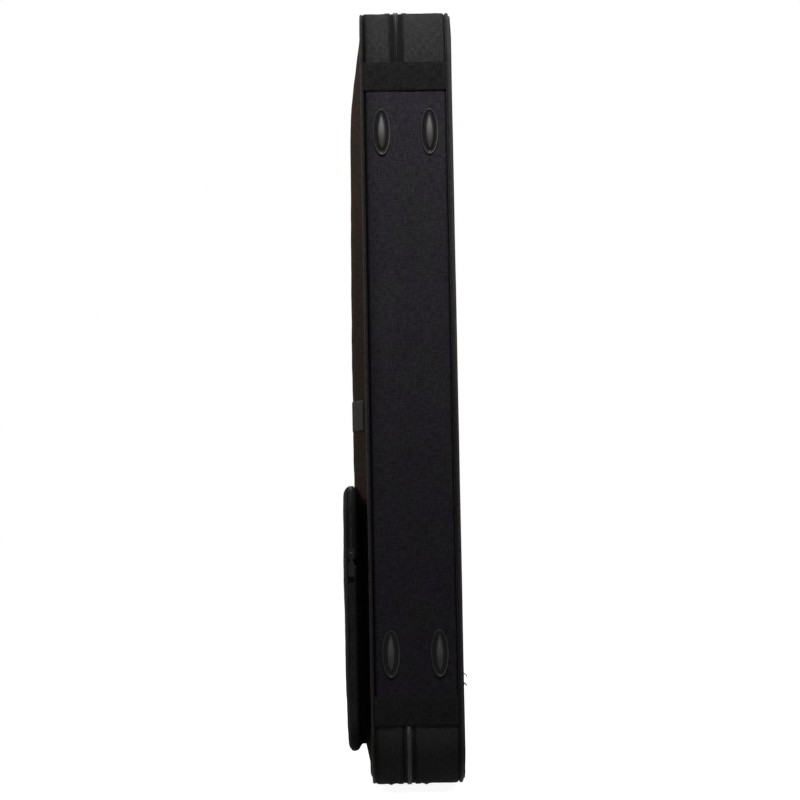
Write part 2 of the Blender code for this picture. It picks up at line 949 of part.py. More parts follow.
def pocket_sheet(name, rows):
    """Part of the pocket's slightly domed front."""
    stops = [share * pocket_crown_shoulder for share in pocket_stop_shares]
    sheet = grid_sheet(
        pocket,
        0.0,
        rows,
        stops,
        lambda x, z: -pocket_front_place - touch_gap - skin_wall - pocket_height_at(x, z),
        -1.0,
    )
    return as_mesh(name, sheet)


pocket_gusset = add_piece(
    "pocket_gusset",
    strip_mesh("pocket_gusset", pocket, lower_line, -lid_edge, -pocket_front_place),
    nylon,
    lid_pivot,
)
solidify(pocket_gusset, skin_wall)
boolean(pocket_gusset, lid_face, "DIFFERENCE")

pocket_zip_back = add_piece(
    "pocket_zip_back",
    swept_mesh(
        "pocket_zip_back",
        pocket,
        upper_line,
        zip_section(-pocket_zip_place, 1.0, pocket_zip_place - lid_edge),
    ),
    zip_tape,
    lid_pivot,
)
boolean(pocket_zip_back, lid_face, "DIFFERENCE")

pocket_front = add_piece(
    "pocket_front",
    pocket_sheet(
        "pocket_front",
        pocket.lower_rows([0.0]) + [(split_above_middle - touch_gap / 2, 0.0)],
    ),
    nylon,
    lid_pivot,
)
solidify(pocket_front, skin_wall)

add_piece(
    "pocket_flap_side",
    swept_mesh(
        "pocket_flap_side",
        pocket,
        upper_line,
        zip_section(-pocket_zip_place, -1.0, pocket_zip_set_back),
    ),
    zip_tape,
    flap_pivot,
)
pocket_flap = add_piece(
    "pocket_flap",
    pocket_sheet(
        "pocket_flap", [(split_above_middle + touch_gap / 2, 0.0)] + pocket.upper_rows()
    ),
    nylon,
    flap_pivot,
)
solidify(pocket_flap, skin_wall)


# Zip sliders and their pulls, modelled once with the zip running along X and facing up
def slider_mesh():
    """Two plates on a web, with a pin held between two lugs on the outer plate."""
    low_top = -tape_set_in - tape_wall - slider_play
    low = low_top - slider_plate
    high_low = slider_plate_top - slider_plate
    half = slider_width / 2
    web = slider_web / 2
    outline = (
        (-half, low),
        (half, low),
        (half, low_top),
        (web, low_top),
        (web, high_low),
        (half, high_low),
        (half, slider_plate_top),
        (-half, slider_plate_top),
        (-half, high_low),
        (-web, high_low),
        (-web, low_top),
        (-half, low_top),
    )
    body_mesh = prism_mesh("slider", outline, "X", -slider_length / 2, slider_length / 2)
    body = add_piece("slider", body_mesh, black_metal, case_frame)
    lug_half = slider_lug_length / 2
    for side in (-1, 1):
        edges = sorted((side * slider_lug_spread, side * (slider_lug_spread + slider_lug_wall)))
        lug = add_cutter(
            f"slider_lug_{side}",
            box_mesh(
                "slider_lug",
                (-lug_half, edges[0], slider_plate_top - slider_plate / 2),
                (lug_half, edges[1], slider_lug_top),
            ),
            case_frame,
        )
        boolean(body, lug, "UNION")
    across = Matrix.Rotation(math.pi / 2, 4, "X")
    pin_length = 2 * slider_lug_spread + slider_lug_wall
    pin = add_cutter(
        "slider_pin",
        rod_mesh("slider_pin", slider_pin_radius, pin_length, across, segments=8),
        case_frame,
        (0.0, 0.0, slider_pin_place),
    )
    boolean(body, pin, "UNION")
    return baked(body)


def pull_mesh():
    """A flat pull along X with an eye round its pin, which lies on the Y axis."""
    neck = slider_lug_spread - touch_gap
    half = pull_width / 2
    outline = (
        (0.0, -neck),
        (pull_neck, -neck),
        (pull_neck + half - neck, -half),
        (pull_length - half / 2, -half),
        (pull_length, -half / 2),
        (pull_length, half / 2),
        (pull_length - half / 2, half),
        (pull_neck + half - neck, half),
        (pull_neck, neck),
        (0.0, neck),
    )
    body_mesh = prism_mesh("pull", outline, "Z", -pull_wall / 2, pull_wall / 2)
    body = add_piece("pull", body_mesh, black_metal, case_frame)
    across = Matrix.Rotation(math.pi / 2, 4, "X")
    eye = add_cutter(
        "pull_eye", rod_mesh("pull_eye", pull_eye_radius, 2 * neck, across), case_frame
    )
    boolean(body, eye, "UNION")
    bore_radius = slider_pin_radius + bore_clearance
    bore = add_cutter(
        "pull_bore",
        rod_mesh("pull_bore", bore_radius, 2 * neck + cut_overrun, across, segments=12),
        case_frame,
    )
    boolean(body, bore, "DIFFERENCE")
    return baked(body)


slider = slider_mesh()
pull = pull_mesh()
slider_step = (slider_length + slider_nose_gap) / 2
reversed_way = (0.0, 0.0, math.radians(180))
for side_name, side, turn in (
    ("left", -1, reversed_way),
    ("right", 1, (0.0, 0.0, 0.0)),
):
    spot = (side * slider_step, 0.0, case_top)
    slider_pivot = pivot(f"zip_slider_{side_name}_pivot", spot, case_frame)
    add_piece(f"zip_slider_{side_name}", slider, black_metal, slider_pivot, spot, turn)
    pin_spot = (spot[0], 0.0, case_top + slider_pin_place)
    pull_pivot = pivot(f"zip_pull_{side_name}_pivot", pin_spot, slider_pivot)
    add_piece(f"zip_pull_{side_name}", pull, black_metal, pull_pivot, pin_spot, turn)

pocket_slider_spot = (
    pocket_half_width,
    -pocket_zip_place,
    pocket_split + pocket_slider_start,
)
pocket_slider_pivot = pivot("pocket_slider_pivot", pocket_slider_spot, lid_pivot)
add_piece(
    "pocket_slider", slider, black_metal, pocket_slider_pivot, pocket_slider_spot, outward_x
)
pocket_pin_spot = (
    pocket_half_width + slider_pin_place,
    -pocket_zip_place,
    pocket_split + pocket_slider_start,
)
pocket_pull_pivot = pivot("pocket_pull_pivot", pocket_pin_spot, pocket_slider_pivot)
add_piece("pocket_pull", pull, black_metal, pocket_pull_pivot, pocket_pin_spot, outward_x)


# Carry handle: a bail that turns in two anchors, with a soft grip round it
handle_pivot = pivot("handle_pivot", (-handle_axis, handle_place, handle_middle), case_frame)
anchor_run = anchor_length / 2


def bail_points():
    """The bail's line, from inside one anchor, out round the grip and into the other."""
    half = []
    for reach, height in (
        (0.0, handle_span / 2 + anchor_run),
        (0.0, handle_span / 2 - anchor_run - handle_bend_radius),
        (handle_reach, handle_span / 2 - anchor_run - handle_bend_radius - handle_arm_run),
    ):
        half.append((-handle_axis - reach, handle_place, height))
    upper = [(x, y, handle_middle + height) for x, y, height in half]
    lower = [(x, y, handle_middle - height) for x, y, height in reversed(half)]
    return rounded_path(upper + lower, handle_bend_radius)


tube("handle_bail", bail_points(), bail_radius, black_metal, handle_pivot)
grip_spot = (-handle_axis - handle_reach, handle_place, handle_middle)
handle_grip = add_piece(
    "handle_grip",
    rod_mesh("handle_grip", grip_radius, grip_length),
    grip_rubber,
    handle_pivot,
    grip_spot,
)
bevel(handle_grip, grip_radius / 4)
grip_bore = add_cutter(
    "grip_bore",
    rod_mesh("grip_bore", bail_radius + bore_clearance, grip_length + cut_overrun),
    handle_pivot,
    grip_spot,
)
boolean(handle_grip, grip_bore, "DIFFERENCE")

for end, rise in (("upper", 1), ("lower", -1)):
    spot = (-handle_axis, handle_place, handle_middle + rise * handle_span / 2)
    pad_low = -anchor_run - anchor_pad_margin
    anchor = add_piece(
        f"handle_anchor_{end}",
        box_mesh(
            f"handle_anchor_{end}",
            (anchor_radius - edge_ease, -anchor_width / 2, pad_low),
            (anchor_radius - edge_ease + anchor_pad_wall, anchor_width / 2, -pad_low),
        ),
        black_metal,
        case_frame,
        spot,
    )
    barrel = add_cutter(
        f"anchor_barrel_{end}",
        rod_mesh("anchor_barrel", anchor_radius, anchor_length),
        case_frame,
        spot,
    )
    boolean(anchor, barrel, "UNION")
    bore = add_cutter(
        f"anchor_bore_{end}",
        rod_mesh("anchor_bore", bail_radius + bore_clearance, anchor_length + cut_overrun),
        case_frame,
        spot,
    )
    boolean(anchor, bore, "DIFFERENCE")


# Carrying straps on the back
strap_anchor = add_piece(
    "strap_anchor_top",
    box_mesh(
        "strap_anchor_top",
        (
            -strap_anchor_width / 2,
            strap_plane,
            strap_anchor_middle - strap_anchor_height / 2,
        ),
        (
            strap_anchor_width / 2,
            strap_plane + strap_anchor_wall,
            strap_anchor_middle + strap_anchor_height / 2,
        ),
    ),
    webbing,
    case_frame,
)
bevel(strap_anchor, strap_anchor_wall / 4)
pad_top = strap_hinge_height - touch_gap
pad_bottom = pad_top - strap_pad_length
webbing_top = pad_bottom - touch_gap
webbing_bottom = webbing_top - strap_webbing_length
hook_plane = strap_plane + 2 * ring_wire_radius + touch_gap


def strap_pad_mesh(side):
    """A cushion with a crowned face, drawn in between its ends, and a flat back."""
    bm = bmesh.new()
    bmesh.ops.create_grid(bm, x_segments=6, y_segments=12, size=1.0)
    for vert in bm.verts:
        across, along = vert.co.x, (vert.co.y + 1) / 2
        half = strap_pad_width / 2 - strap_pad_waist * math.sin(math.pi * along) ** 2
        edge = eased(3 * (1 - abs(across))) * eased(8 * along) * eased(8 * (1 - along))
        rise = strap_pad_rim + (strap_pad_wall - strap_pad_rim) * edge
        height = pad_bottom + strap_pad_length * along
        vert.co = (side * strap_side_place + across * half, strap_plane + rise, height)
    border = [edge for edge in bm.edges if edge.is_boundary]
    made = bmesh.ops.extrude_edge_only(bm, edges=border)
    for item in made["geom"]:
        if isinstance(item, bmesh.types.BMVert):
            item.co.y = strap_plane
    cap_open_ends(bm)
    return as_mesh("strap_pad", bm)


def webbing_x(side, height):
    """Where the webbing's middle lies across the back at a height."""
    share = (webbing_top - height) / strap_webbing_length
    return side * (strap_side_place + strap_splay * share)


def add_strap(side_name, side):
    """One shoulder strap, from the top anchor down to its hook."""
    hinge = pivot(
        f"shoulder_strap_{side_name}_pivot",
        (side * strap_side_place, strap_outer, strap_hinge_height),
        case_frame,
    )
    add_piece(f"strap_pad_{side_name}", strap_pad_mesh(side), nylon, hinge)
    half = strap_webbing_width / 2
    top_x = webbing_x(side, webbing_top)
    end_x = webbing_x(side, webbing_bottom)
    strip = add_piece(
        f"strap_webbing_{side_name}",
        prism_mesh(
            "strap_webbing",
            (
                (top_x - half, webbing_top),
                (end_x - half, webbing_bottom),
                (end_x + half, webbing_bottom),
                (top_x + half, webbing_top),
            ),
            "Y",
            strap_plane,
            strap_plane + strap_webbing_wall,
        ),
        webbing,
        hinge,
    )
    fold_top = webbing_bottom + strap_fold_length
    fold_x = webbing_x(side, fold_top)
    fold = add_cutter(
        f"webbing_fold_{side_name}",
        prism_mesh(
            "webbing_fold",
            (
                (fold_x - half, fold_top),
                (end_x - half, webbing_bottom),
                (end_x + half, webbing_bottom),
                (fold_x + half, fold_top),
            ),
            "Y",
            strap_plane + strap_webbing_wall / 2,
            strap_plane + 2 * ring_wire_radius,
        ),
        hinge,
    )
    boolean(strip, fold, "UNION")

    lock_x = webbing_x(side, webbing_top - lock_height / 2)
    lock_low = strap_plane + strap_webbing_wall + touch_gap
    lock_bottom = webbing_top - lock_height
    lock = add_piece(
        f"ladder_lock_{side_name}",
        box_mesh(
            "ladder_lock",
            (lock_x - lock_width / 2, lock_low, lock_bottom),
            (lock_x + lock_width / 2, lock_low + lock_wall, webbing_top),
        ),
        foot_plastic,
        hinge,
    )
    window = (lock_height - 3 * lock_bar) / 2
    for number in range(2):
        low = lock_bottom + lock_bar + number * (window + lock_bar)
        slot = add_cutter(
            f"lock_slot_{side_name}_{number}",
            box_mesh(
                "lock_slot",
                (lock_x - lock_width / 2 + lock_bar, lock_low - cut_overrun, low),
                (
                    lock_x + lock_width / 2 - lock_bar,
                    lock_low + lock_wall + cut_overrun,
                    low + window,
                ),
            ),
            hinge,
        )
        boolean(lock, slot, "DIFFERENCE")

    mouth_top = webbing_bottom - (hook_stem_length - hook_overlap)
    mouth_low = mouth_top - hook_mouth - hook_jaw
    right = hook_half_width
    tip = -hook_half_width + hook_tip_inset
    outline = (
        (-right, webbing_bottom + hook_overlap),
        (right, webbing_bottom + hook_overlap),
        (right, mouth_low - hook_jaw),
        (tip, mouth_low - hook_jaw),
        (tip, mouth_top - hook_mouth),
        (tip + hook_arm, mouth_top - hook_mouth),
        (tip + hook_arm, mouth_low),
        (right - hook_arm, mouth_low),
        (right - hook_arm, mouth_top),
        (-right, mouth_top),
    )
    hook = add_piece(
        f"strap_hook_{side_name}",
        prism_mesh(
            "strap_hook",
            [(end_x + side * x, z) for x, z in outline],
            "Y",
            hook_plane,
            hook_plane + hook_wall,
        ),
        black_metal,
        hinge,
    )
    bevel(hook, hook_wall / 6)

    ring_top = mouth_low + hook_jaw
    ring_place = strap_plane + ring_wire_radius
    ring_outline = Outline(
        ring_width, ring_height, ring_corner_radius, ring_top - ring_height / 2
    )
    ring_points = [(end_x + x, ring_place, z) for x, z in ring_outline.loop(0.0)]
    ring_low = ring_top - ring_height
    anchor = add_piece(
        f"lower_anchor_{side_name}",
        box_mesh(
            "lower_anchor",
            (end_x - tab_width / 2, strap_plane, ring_low - tab_height),
            (end_x + tab_width / 2, strap_plane + tab_wall, ring_low),
        ),
        webbing,
        case_frame,
    )
    sleeve = add_cutter(
        f"anchor_sleeve_{side_name}",
        box_mesh(
            "anchor_sleeve",
            (
                end_x - ring_width / 2 + ring_corner_radius,
                strap_plane,
                ring_low - tab_sleeve_height / 2,
            ),
            (
                end_x + ring_width / 2 - ring_corner_radius,
                strap_plane + tab_sleeve_wall,
                ring_low + tab_sleeve_height / 2,
            ),
        ),
        case_frame,
    )
    boolean(anchor, sleeve, "UNION")
    ring = add_cutter(
        f"anchor_ring_{side_name}",
        tube_mesh(
            f"anchor_ring_{side_name}", ring_points, ring_wire_radius, cyclic=True, sides=1
        ),
        case_frame,
    )
    boolean(anchor, ring, "UNION")


add_strap("left", -1)
add_strap("right", 1)

# Neck cradle with its strap, inside the base
seat = floor_place - touch_gap
cradle_top = seat - cradle_height
cradle_half = cradle_width / 2
channel_half = cradle_channel_width / 2
neck_cradle = add_piece(
    "neck_cradle",
    prism_mesh(
        "neck_cradle",
        (
            (-cradle_half, seat),
            (cradle_half, seat),
            (cradle_half, cradle_top),
            (channel_half, cradle_top),
            (channel_half, cradle_top + cradle_channel_depth),
            (-channel_half, cradle_top + cradle_channel_depth),
            (-channel_half, cradle_top),
            (-cradle_half, cradle_top),
        ),
        "Z",
        cradle_middle - cradle_length / 2,
        cradle_middle + cradle_length / 2,
    ),
    plush,
    case_frame,
)
bevel(neck_cradle, cradle_edge)
strap_root = -channel_half - neck_strap_overlap
strap_pivot = pivot(
    "neck_strap_pivot",
    (strap_root - neck_fold_overhang, cradle_top - touch_gap / 2, cradle_middle),
    case_frame,
)
add_piece(
    "neck_strap",
    box_mesh(
        "neck_strap",
        (
            strap_root,
            cradle_top - touch_gap - neck_strap_wall,
            cradle_middle - neck_strap_width / 2,
        ),
        (
            channel_half + neck_strap_overlap,
            cradle_top - touch_gap,
            cradle_middle + neck_strap_width / 2,
        ),
    ),
    webbing,
    strap_pivot,
)

# Foam surround for the guitar's body, following the inside of the base
surround_outer = lining_set_in + plush_wall + surround_fit
surround_inner = surround_outer + surround_wall


def surround_line(inset):
    """Down the hinge side, round the bottom end and up the handle side."""
    side = half_width - inset
    corners = case.arc(3, inset)[::-1] + case.arc(2, inset)[::-1]
    return [(side, surround_top)] + corners + [(-side, surround_top)]


add_piece(
    "body_surround",
    prism_mesh(
        "body_surround",
        surround_line(surround_outer) + surround_line(surround_inner)[::-1],
        "Y",
        seat - surround_height,
        seat,
    ),
    plush,
    case_frame,
)

# Accessory box with its lid
box_left = -inner_half_width + box_side_gap
box_right = box_left + box_width
box_low = box_middle - box_length / 2
box_high = box_middle + box_length / 2
accessory_box = add_piece(
    "accessory_box",
    box_mesh("accessory_box", (box_left, box_top, box_low), (box_right, seat, box_high)),
    plush,
    case_frame,
)
box_hollow = add_cutter(
    "box_hollow",
    box_mesh(
        "box_hollow",
        (box_left + box_wall, box_top - cut_overrun, box_low + box_wall),
        (box_right - box_wall, seat - box_wall, box_high - box_wall),
    ),
    case_frame,
)
boolean(accessory_box, box_hollow, "DIFFERENCE")
box_lid_pivot = pivot(
    "accessory_lid_pivot", (box_right, box_top - touch_gap / 2, box_middle), case_frame
)
add_piece(
    "accessory_lid",
    box_mesh(
        "accessory_lid",
        (box_left, box_top - touch_gap - box_lid_wall, box_low),
        (box_right, box_top - touch_gap, box_high),
    ),
    plush,
    box_lid_pivot,
)

# Round pieces are shaded smooth
for piece in parts.objects:
    if piece.type == "MESH":
        piece.data.shade_smooth()
        piece.data.set_sharp_from_angle(angle=math.radians(35))
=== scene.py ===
# %% [markdown]
# A zipped foam case for a bass guitar, standing on its end feet and seen from its hinge side.
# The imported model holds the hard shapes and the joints. This script dresses it: cloth, piping, zips,
# webbing, feet, straps and the plush inside, each riding on the body that carries it.

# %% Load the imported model
import math

import bmesh
import bpy
import numpy as np
from mathutils import Matrix, Vector


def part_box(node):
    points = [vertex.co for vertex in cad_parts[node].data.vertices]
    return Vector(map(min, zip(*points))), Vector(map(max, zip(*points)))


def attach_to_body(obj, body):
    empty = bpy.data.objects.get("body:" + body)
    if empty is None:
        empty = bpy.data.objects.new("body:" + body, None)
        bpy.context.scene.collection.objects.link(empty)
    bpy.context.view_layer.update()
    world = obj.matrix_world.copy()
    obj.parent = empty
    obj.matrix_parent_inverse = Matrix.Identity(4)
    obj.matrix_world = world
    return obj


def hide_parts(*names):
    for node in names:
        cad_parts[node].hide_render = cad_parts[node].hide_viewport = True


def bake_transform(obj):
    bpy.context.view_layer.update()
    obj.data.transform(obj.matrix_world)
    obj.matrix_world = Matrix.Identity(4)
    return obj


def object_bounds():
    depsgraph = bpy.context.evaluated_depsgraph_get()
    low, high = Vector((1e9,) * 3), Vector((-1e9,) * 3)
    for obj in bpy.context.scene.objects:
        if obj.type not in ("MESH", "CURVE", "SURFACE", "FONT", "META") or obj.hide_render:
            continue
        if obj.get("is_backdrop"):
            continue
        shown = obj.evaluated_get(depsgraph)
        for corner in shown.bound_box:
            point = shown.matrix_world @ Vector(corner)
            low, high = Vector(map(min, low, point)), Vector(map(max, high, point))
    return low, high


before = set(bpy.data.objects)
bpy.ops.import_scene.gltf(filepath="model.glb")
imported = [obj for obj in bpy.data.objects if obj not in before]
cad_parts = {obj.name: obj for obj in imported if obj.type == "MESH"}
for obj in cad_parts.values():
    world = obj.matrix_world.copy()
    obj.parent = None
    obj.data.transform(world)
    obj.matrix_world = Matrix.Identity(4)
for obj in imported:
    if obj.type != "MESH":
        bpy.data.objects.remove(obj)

cad_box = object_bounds()

# %% [markdown]
# The case is drawn in its own coordinates: X from the handle to the hinge, Y from the lid to the back
# with the zip at zero, Z up, all in metres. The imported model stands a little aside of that, so that
# its box is centred. The step between the two is measured on the model, so both stay together.

# %% Where the case stands
shell_low, shell_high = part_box("base_shell")
zip_plane = (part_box("base_zip_half")[0].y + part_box("lid_zip_half")[1].y) / 2
case_shift = np.array(((shell_low.x + shell_high.x) / 2, zip_plane, 0.0))
half_width, half_length, corner_radius, case_middle = 0.200, 0.615, 0.100, 0.6225
lid_face_edge, back_face_edge = 0.0566, 0.0806
print("case shift:", [round(float(v), 5) for v in case_shift])

# %% [markdown]
# The photograph is taken from low down, along the case's width, with a long lens. The camera's place
# and turn come from a fit of the case's corners, feet and seams to where the picture shows them.

# %% Camera
def add_object(name, data):
    """An object for a mesh, camera or lamp, linked to the scene."""
    made = bpy.data.objects.new(name, data)
    bpy.context.scene.collection.objects.link(made)
    return made


camera_place = Vector((3.20142, -0.01784, 0.42671))
camera_yaw, camera_pitch, camera_roll = 0.00574, 0.06081, -0.01867
focal_pixels, picture_pixels, sensor_width = 1926.26, 800.0, 36.0
ahead = Vector(
    (
        -math.cos(camera_yaw) * math.cos(camera_pitch),
        math.sin(camera_yaw) * math.cos(camera_pitch),
        math.sin(camera_pitch),
    )
)
level_right = ahead.cross(Vector((0.0, 0.0, 1.0))).normalized()
level_up = level_right.cross(ahead)
rolled_right = math.cos(camera_roll) * level_right + math.sin(camera_roll) * level_up
rolled_up = math.cos(camera_roll) * level_up - math.sin(camera_roll) * level_right
camera_data = bpy.data.cameras.new("photo_camera")
camera_data.sensor_width = sensor_width
camera_data.lens = focal_pixels / picture_pixels * sensor_width
camera = add_object("photo_camera", camera_data)
turn = Matrix((rolled_right, rolled_up, -ahead)).transposed().to_4x4()
camera.matrix_world = Matrix.Translation(camera_place) @ turn
bpy.context.scene.camera = camera
print("lens:", round(camera_data.lens, 2), "mm")

# %% [markdown]
# Materials are built from nodes. A few small helpers keep them readable: one adds a node and fills
# its inputs, by value or by link, and the others stand for one sum, one noise or one scale. Effects
# that several finishes share, such as a weave or dust, are node groups that put out masks and
# heights only.

# %% Node helpers
def add_node(tree, kind, settings=None, **inputs):
    """Adds a node, sets its options, then sets each named input or links a socket to it."""
    made = tree.nodes.new(kind)
    for key, value in (settings or {}).items():
        setattr(made, key, value)
    for key, value in inputs.items():
        socket = made.inputs[int(key[1:]) if key[1:].isdigit() else key.replace("_", " ")]
        if isinstance(value, bpy.types.NodeSocket):
            tree.links.new(value, socket)
        else:
            socket.default_value = value
    return made


def calc(tree, operation, *values):
    """One sum on numbers or sockets, as a Math node."""
    inputs = {f"i{place}": value for place, value in enumerate(values)}
    return add_node(tree, "ShaderNodeMath", {"operation": operation}, **inputs).outputs[0]


def hump(tree, place):
    """A half sine wave between each whole number and the next."""
    return calc(tree, "ABSOLUTE", calc(tree, "SINE", calc(tree, "MULTIPLY", place, math.pi)))


def noise(tree, place, scale, detail, rough=0.5):
    """The value of a noise, around one half."""
    return add_node(
        tree, "ShaderNodeTexNoise", Vector=place, Scale=scale, Detail=detail, Roughness=rough
    ).outputs[0]


def share_between(tree, value, low, high):
    """0 below low, 1 above high, and straight between the two."""
    return add_node(
        tree, "ShaderNodeMapRange", {"clamp": True}, Value=value, From_Min=low, From_Max=high
    ).outputs[0]


def new_group(name, label, value, *outputs):
    """An empty node group that is given a place and one number, and puts out numbers."""
    tree = bpy.data.node_groups.new(name, "ShaderNodeTree")
    tree.interface.new_socket("Place", in_out="INPUT", socket_type="NodeSocketVector")
    number = tree.interface.new_socket(label, in_out="INPUT", socket_type="NodeSocketFloat")
    number.default_value = value
    for output in outputs:
        tree.interface.new_socket(output, in_out="OUTPUT", socket_type="NodeSocketFloat")
    return tree, tree.nodes.new("NodeGroupInput").outputs, tree.nodes.new("NodeGroupOutput").inputs


def mixed_colour(tree, share, first, second):
    """The first colour, moved towards the second by a share."""
    settings = {"data_type": "RGBA"}
    return add_node(tree, "ShaderNodeMix", settings, Factor=share, i6=first, i7=second).outputs[2]


node_helpers = (add_node, calc, hump, noise, share_between, new_group, mixed_colour)
print("node helpers:", [helper.__name__ for helper in node_helpers])


# %% Woven threads
def make_weave():
    """Plain weave: a chessboard picks the thread on top, and each thread bulges as a sine wave."""
    tree, given, result = new_group(
        "woven threads", "Threads per metre", 1400.0, "Height", "Crossing"
    )
    split = add_node(tree, "ShaderNodeSeparateXYZ", Vector=given["Place"])
    across, along = (calc(tree, "MULTIPLY", split.outputs[axis], given[1]) for axis in (0, 1))
    steps = calc(tree, "ADD", calc(tree, "FLOOR", across), calc(tree, "FLOOR", along))
    crossing = calc(tree, "ABSOLUTE", calc(tree, "MODULO", steps, 2.0))
    mixed = add_node(
        tree, "ShaderNodeMix", {"data_type": "FLOAT"},
        Factor=crossing, i2=hump(tree, across), i3=hump(tree, along),
    )
    tree.links.new(mixed.outputs[0], result["Height"])
    tree.links.new(crossing, result["Crossing"])
    return tree


weave_group = make_weave()
print("weave:", len(weave_group.nodes), "nodes")


# %% Clouds, dust and thick yarn
def make_clouds():
    """Slow unevenness between -1 and 1 from a noise of the given size."""
    tree, given, result = new_group("clouds", "Size", 0.05, "Value")
    wide = noise(tree, given["Place"], calc(tree, "DIVIDE", 1.0, given["Size"]), 3.0, 0.55)
    value = calc(tree, "MULTIPLY", calc(tree, "SUBTRACT", wide, 0.5), 2.6)
    tree.links.new(value, result["Value"])
    return tree


def make_dust():
    """Specks of lint: the crumbs of a fine noise that stand above a high threshold, where a wide
    noise lets them."""
    tree, given, result = new_group("dust", "Amount", 0.3, "Mask")
    crumbs = share_between(tree, noise(tree, given["Place"], 900.0, 2.0, 0.6), 0.60, 0.78)
    patch = share_between(tree, noise(tree, given["Place"], 24.0, 2.0), 0.42, 0.70)
    both = calc(tree, "MULTIPLY", crumbs, patch)
    tree.links.new(calc(tree, "MULTIPLY", both, given["Amount"]), result["Mask"])
    return tree


def make_slubs():
    """Thick places in the yarn: two noises, one drawn out along each direction of the weave, and a
    fine crumb over both. The value lies around zero."""
    tree, given, result = new_group("thick yarn", "Width", 0.0024, "Value")
    scale = calc(tree, "DIVIDE", 1.0, given["Width"])
    total = 0.0
    for stretch, weight in (
        ((1.0, 0.22, 1.0), 1.0),
        ((0.22, 1.0, 1.0), 1.0),
        ((2.3, 2.3, 1.0), 0.6),
    ):
        drawn = add_node(
            tree, "ShaderNodeVectorMath", {"operation": "MULTIPLY"}, i0=given["Place"], i1=stretch
        )
        part = calc(tree, "SUBTRACT", noise(tree, drawn.outputs[0], scale, 1.0), 0.5)
        total = calc(tree, "MULTIPLY_ADD", part, weight, total)
    tree.links.new(total, result["Value"])
    return tree


clouds_group, dust_group, slub_group = make_clouds(), make_dust(), make_slubs()
print("groups:", [group.name for group in bpy.data.node_groups])

# %% [markdown]
# Every cloth here is the same idea at another scale: threads give the bump, crossings and slow clouds
# vary the colour, and lint lightens it in places. One function makes them all, with the thread count,
# colour and shine of each cloth as its values. Cloth that follows a surface reads the piece's own UV
# map, which is in metres, so a thread is as wide everywhere.

# %% Cloth finishes
# Lint and dust move a colour towards this grey, and so do painted highlights.
lint_and_highlight_colour = (0.16, 0.155, 0.15, 1.0)


def use_group(tree, group, place, **number):
    """Places a node group in a material and gives back its outputs."""
    return add_node(tree, "ShaderNodeGroup", {"node_tree": group}, Place=place, **number).outputs


def new_material(name, roughness, specular, sheen=0.0):
    """A material with one Principled shader whose constant values sit on its own sockets."""
    material = bpy.data.materials.new(name)
    material.use_nodes = True
    tree = material.node_tree
    shader = tree.nodes["Principled BSDF"]
    shader.inputs["Roughness"].default_value = roughness
    shader.inputs["Specular IOR Level"].default_value = specular
    shader.inputs["Sheen Weight"].default_value = sheen
    shader.inputs["Sheen Roughness"].default_value = 0.5
    return material, tree, shader, add_node(tree, "ShaderNodeTexCoord").outputs


def two_dyes(tree, spot, first, second):
    """The dye drifts slowly between two colours."""
    share = share_between(tree, use_group(tree, clouds_group, spot, Size=0.075)[0], -0.25, 0.25)
    return mixed_colour(tree, share, (*first, 1.0), (*second, 1.0))


def varied_colour(tree, spot, colour, mottle, contrast, lint):
    """The plain colour, or a socket's, times one plus the mottle. It is darker at seams and where
    shade is painted, and moved towards a light grey where lint or dust lies and where highlights
    are painted. These marks are attributes that a piece may carry."""
    seams, worn = (
        add_node(tree, "ShaderNodeAttribute", {"attribute_name": label}).outputs["Fac"]
        for label in ("seam", "worn")
    )
    shade = calc(tree, "MULTIPLY_ADD", mottle, contrast, 1.0)
    shade = calc(tree, "MULTIPLY", shade, calc(tree, "MULTIPLY_ADD", seams, -0.94, 1.0))
    tinted = add_node(
        tree, "ShaderNodeVectorMath", {"operation": "SCALE"}, i0=colour, Scale=shade
    ).outputs[0]
    pale = calc(tree, "MAXIMUM", use_group(tree, dust_group, spot, Amount=lint)[0], worn)
    return mixed_colour(tree, pale, tinted, lint_and_highlight_colour)


def feed(tree, shader, colour, height, strength, depth):
    """Links the colour and a bump from the height to the shader."""
    tree.links.new(colour, shader.inputs["Base Color"])
    bump = add_node(tree, "ShaderNodeBump", Strength=strength, Distance=depth, Height=height)
    tree.links.new(bump.outputs[0], shader.inputs["Normal"])


def cloth(name, colour, threads=1500.0, depth=0.00012, second=None, specular=0.03, slubs=8.0):
    """A woven cloth: bump from the threads, colour from clouds, thick yarn, crossings and lint.
    With a second colour, the dye drifts slowly between the two."""
    roughness = 0.85
    material, tree, shader, spot = new_material(name, roughness, specular)
    weave = use_group(tree, weave_group, spot["UV"], Threads_per_metre=threads)
    clouds = use_group(tree, clouds_group, spot["Object"], Size=0.045)[0]
    mottle = calc(tree, "MULTIPLY_ADD", weave["Crossing"], 0.5, clouds)
    mottle = calc(tree, "MULTIPLY_ADD", use_group(tree, slub_group, spot["UV"])[0], slubs, mottle)
    if second:
        colour = two_dyes(tree, spot["Object"], colour, second)
    colour = varied_colour(tree, spot["Object"], colour, mottle, 0.16, 0.12)
    feed(tree, shader, colour, weave["Height"], 0.6, depth)
    rough = calc(tree, "MULTIPLY_ADD", clouds, 0.05, roughness)
    tree.links.new(rough, shader.inputs["Roughness"])
    return material


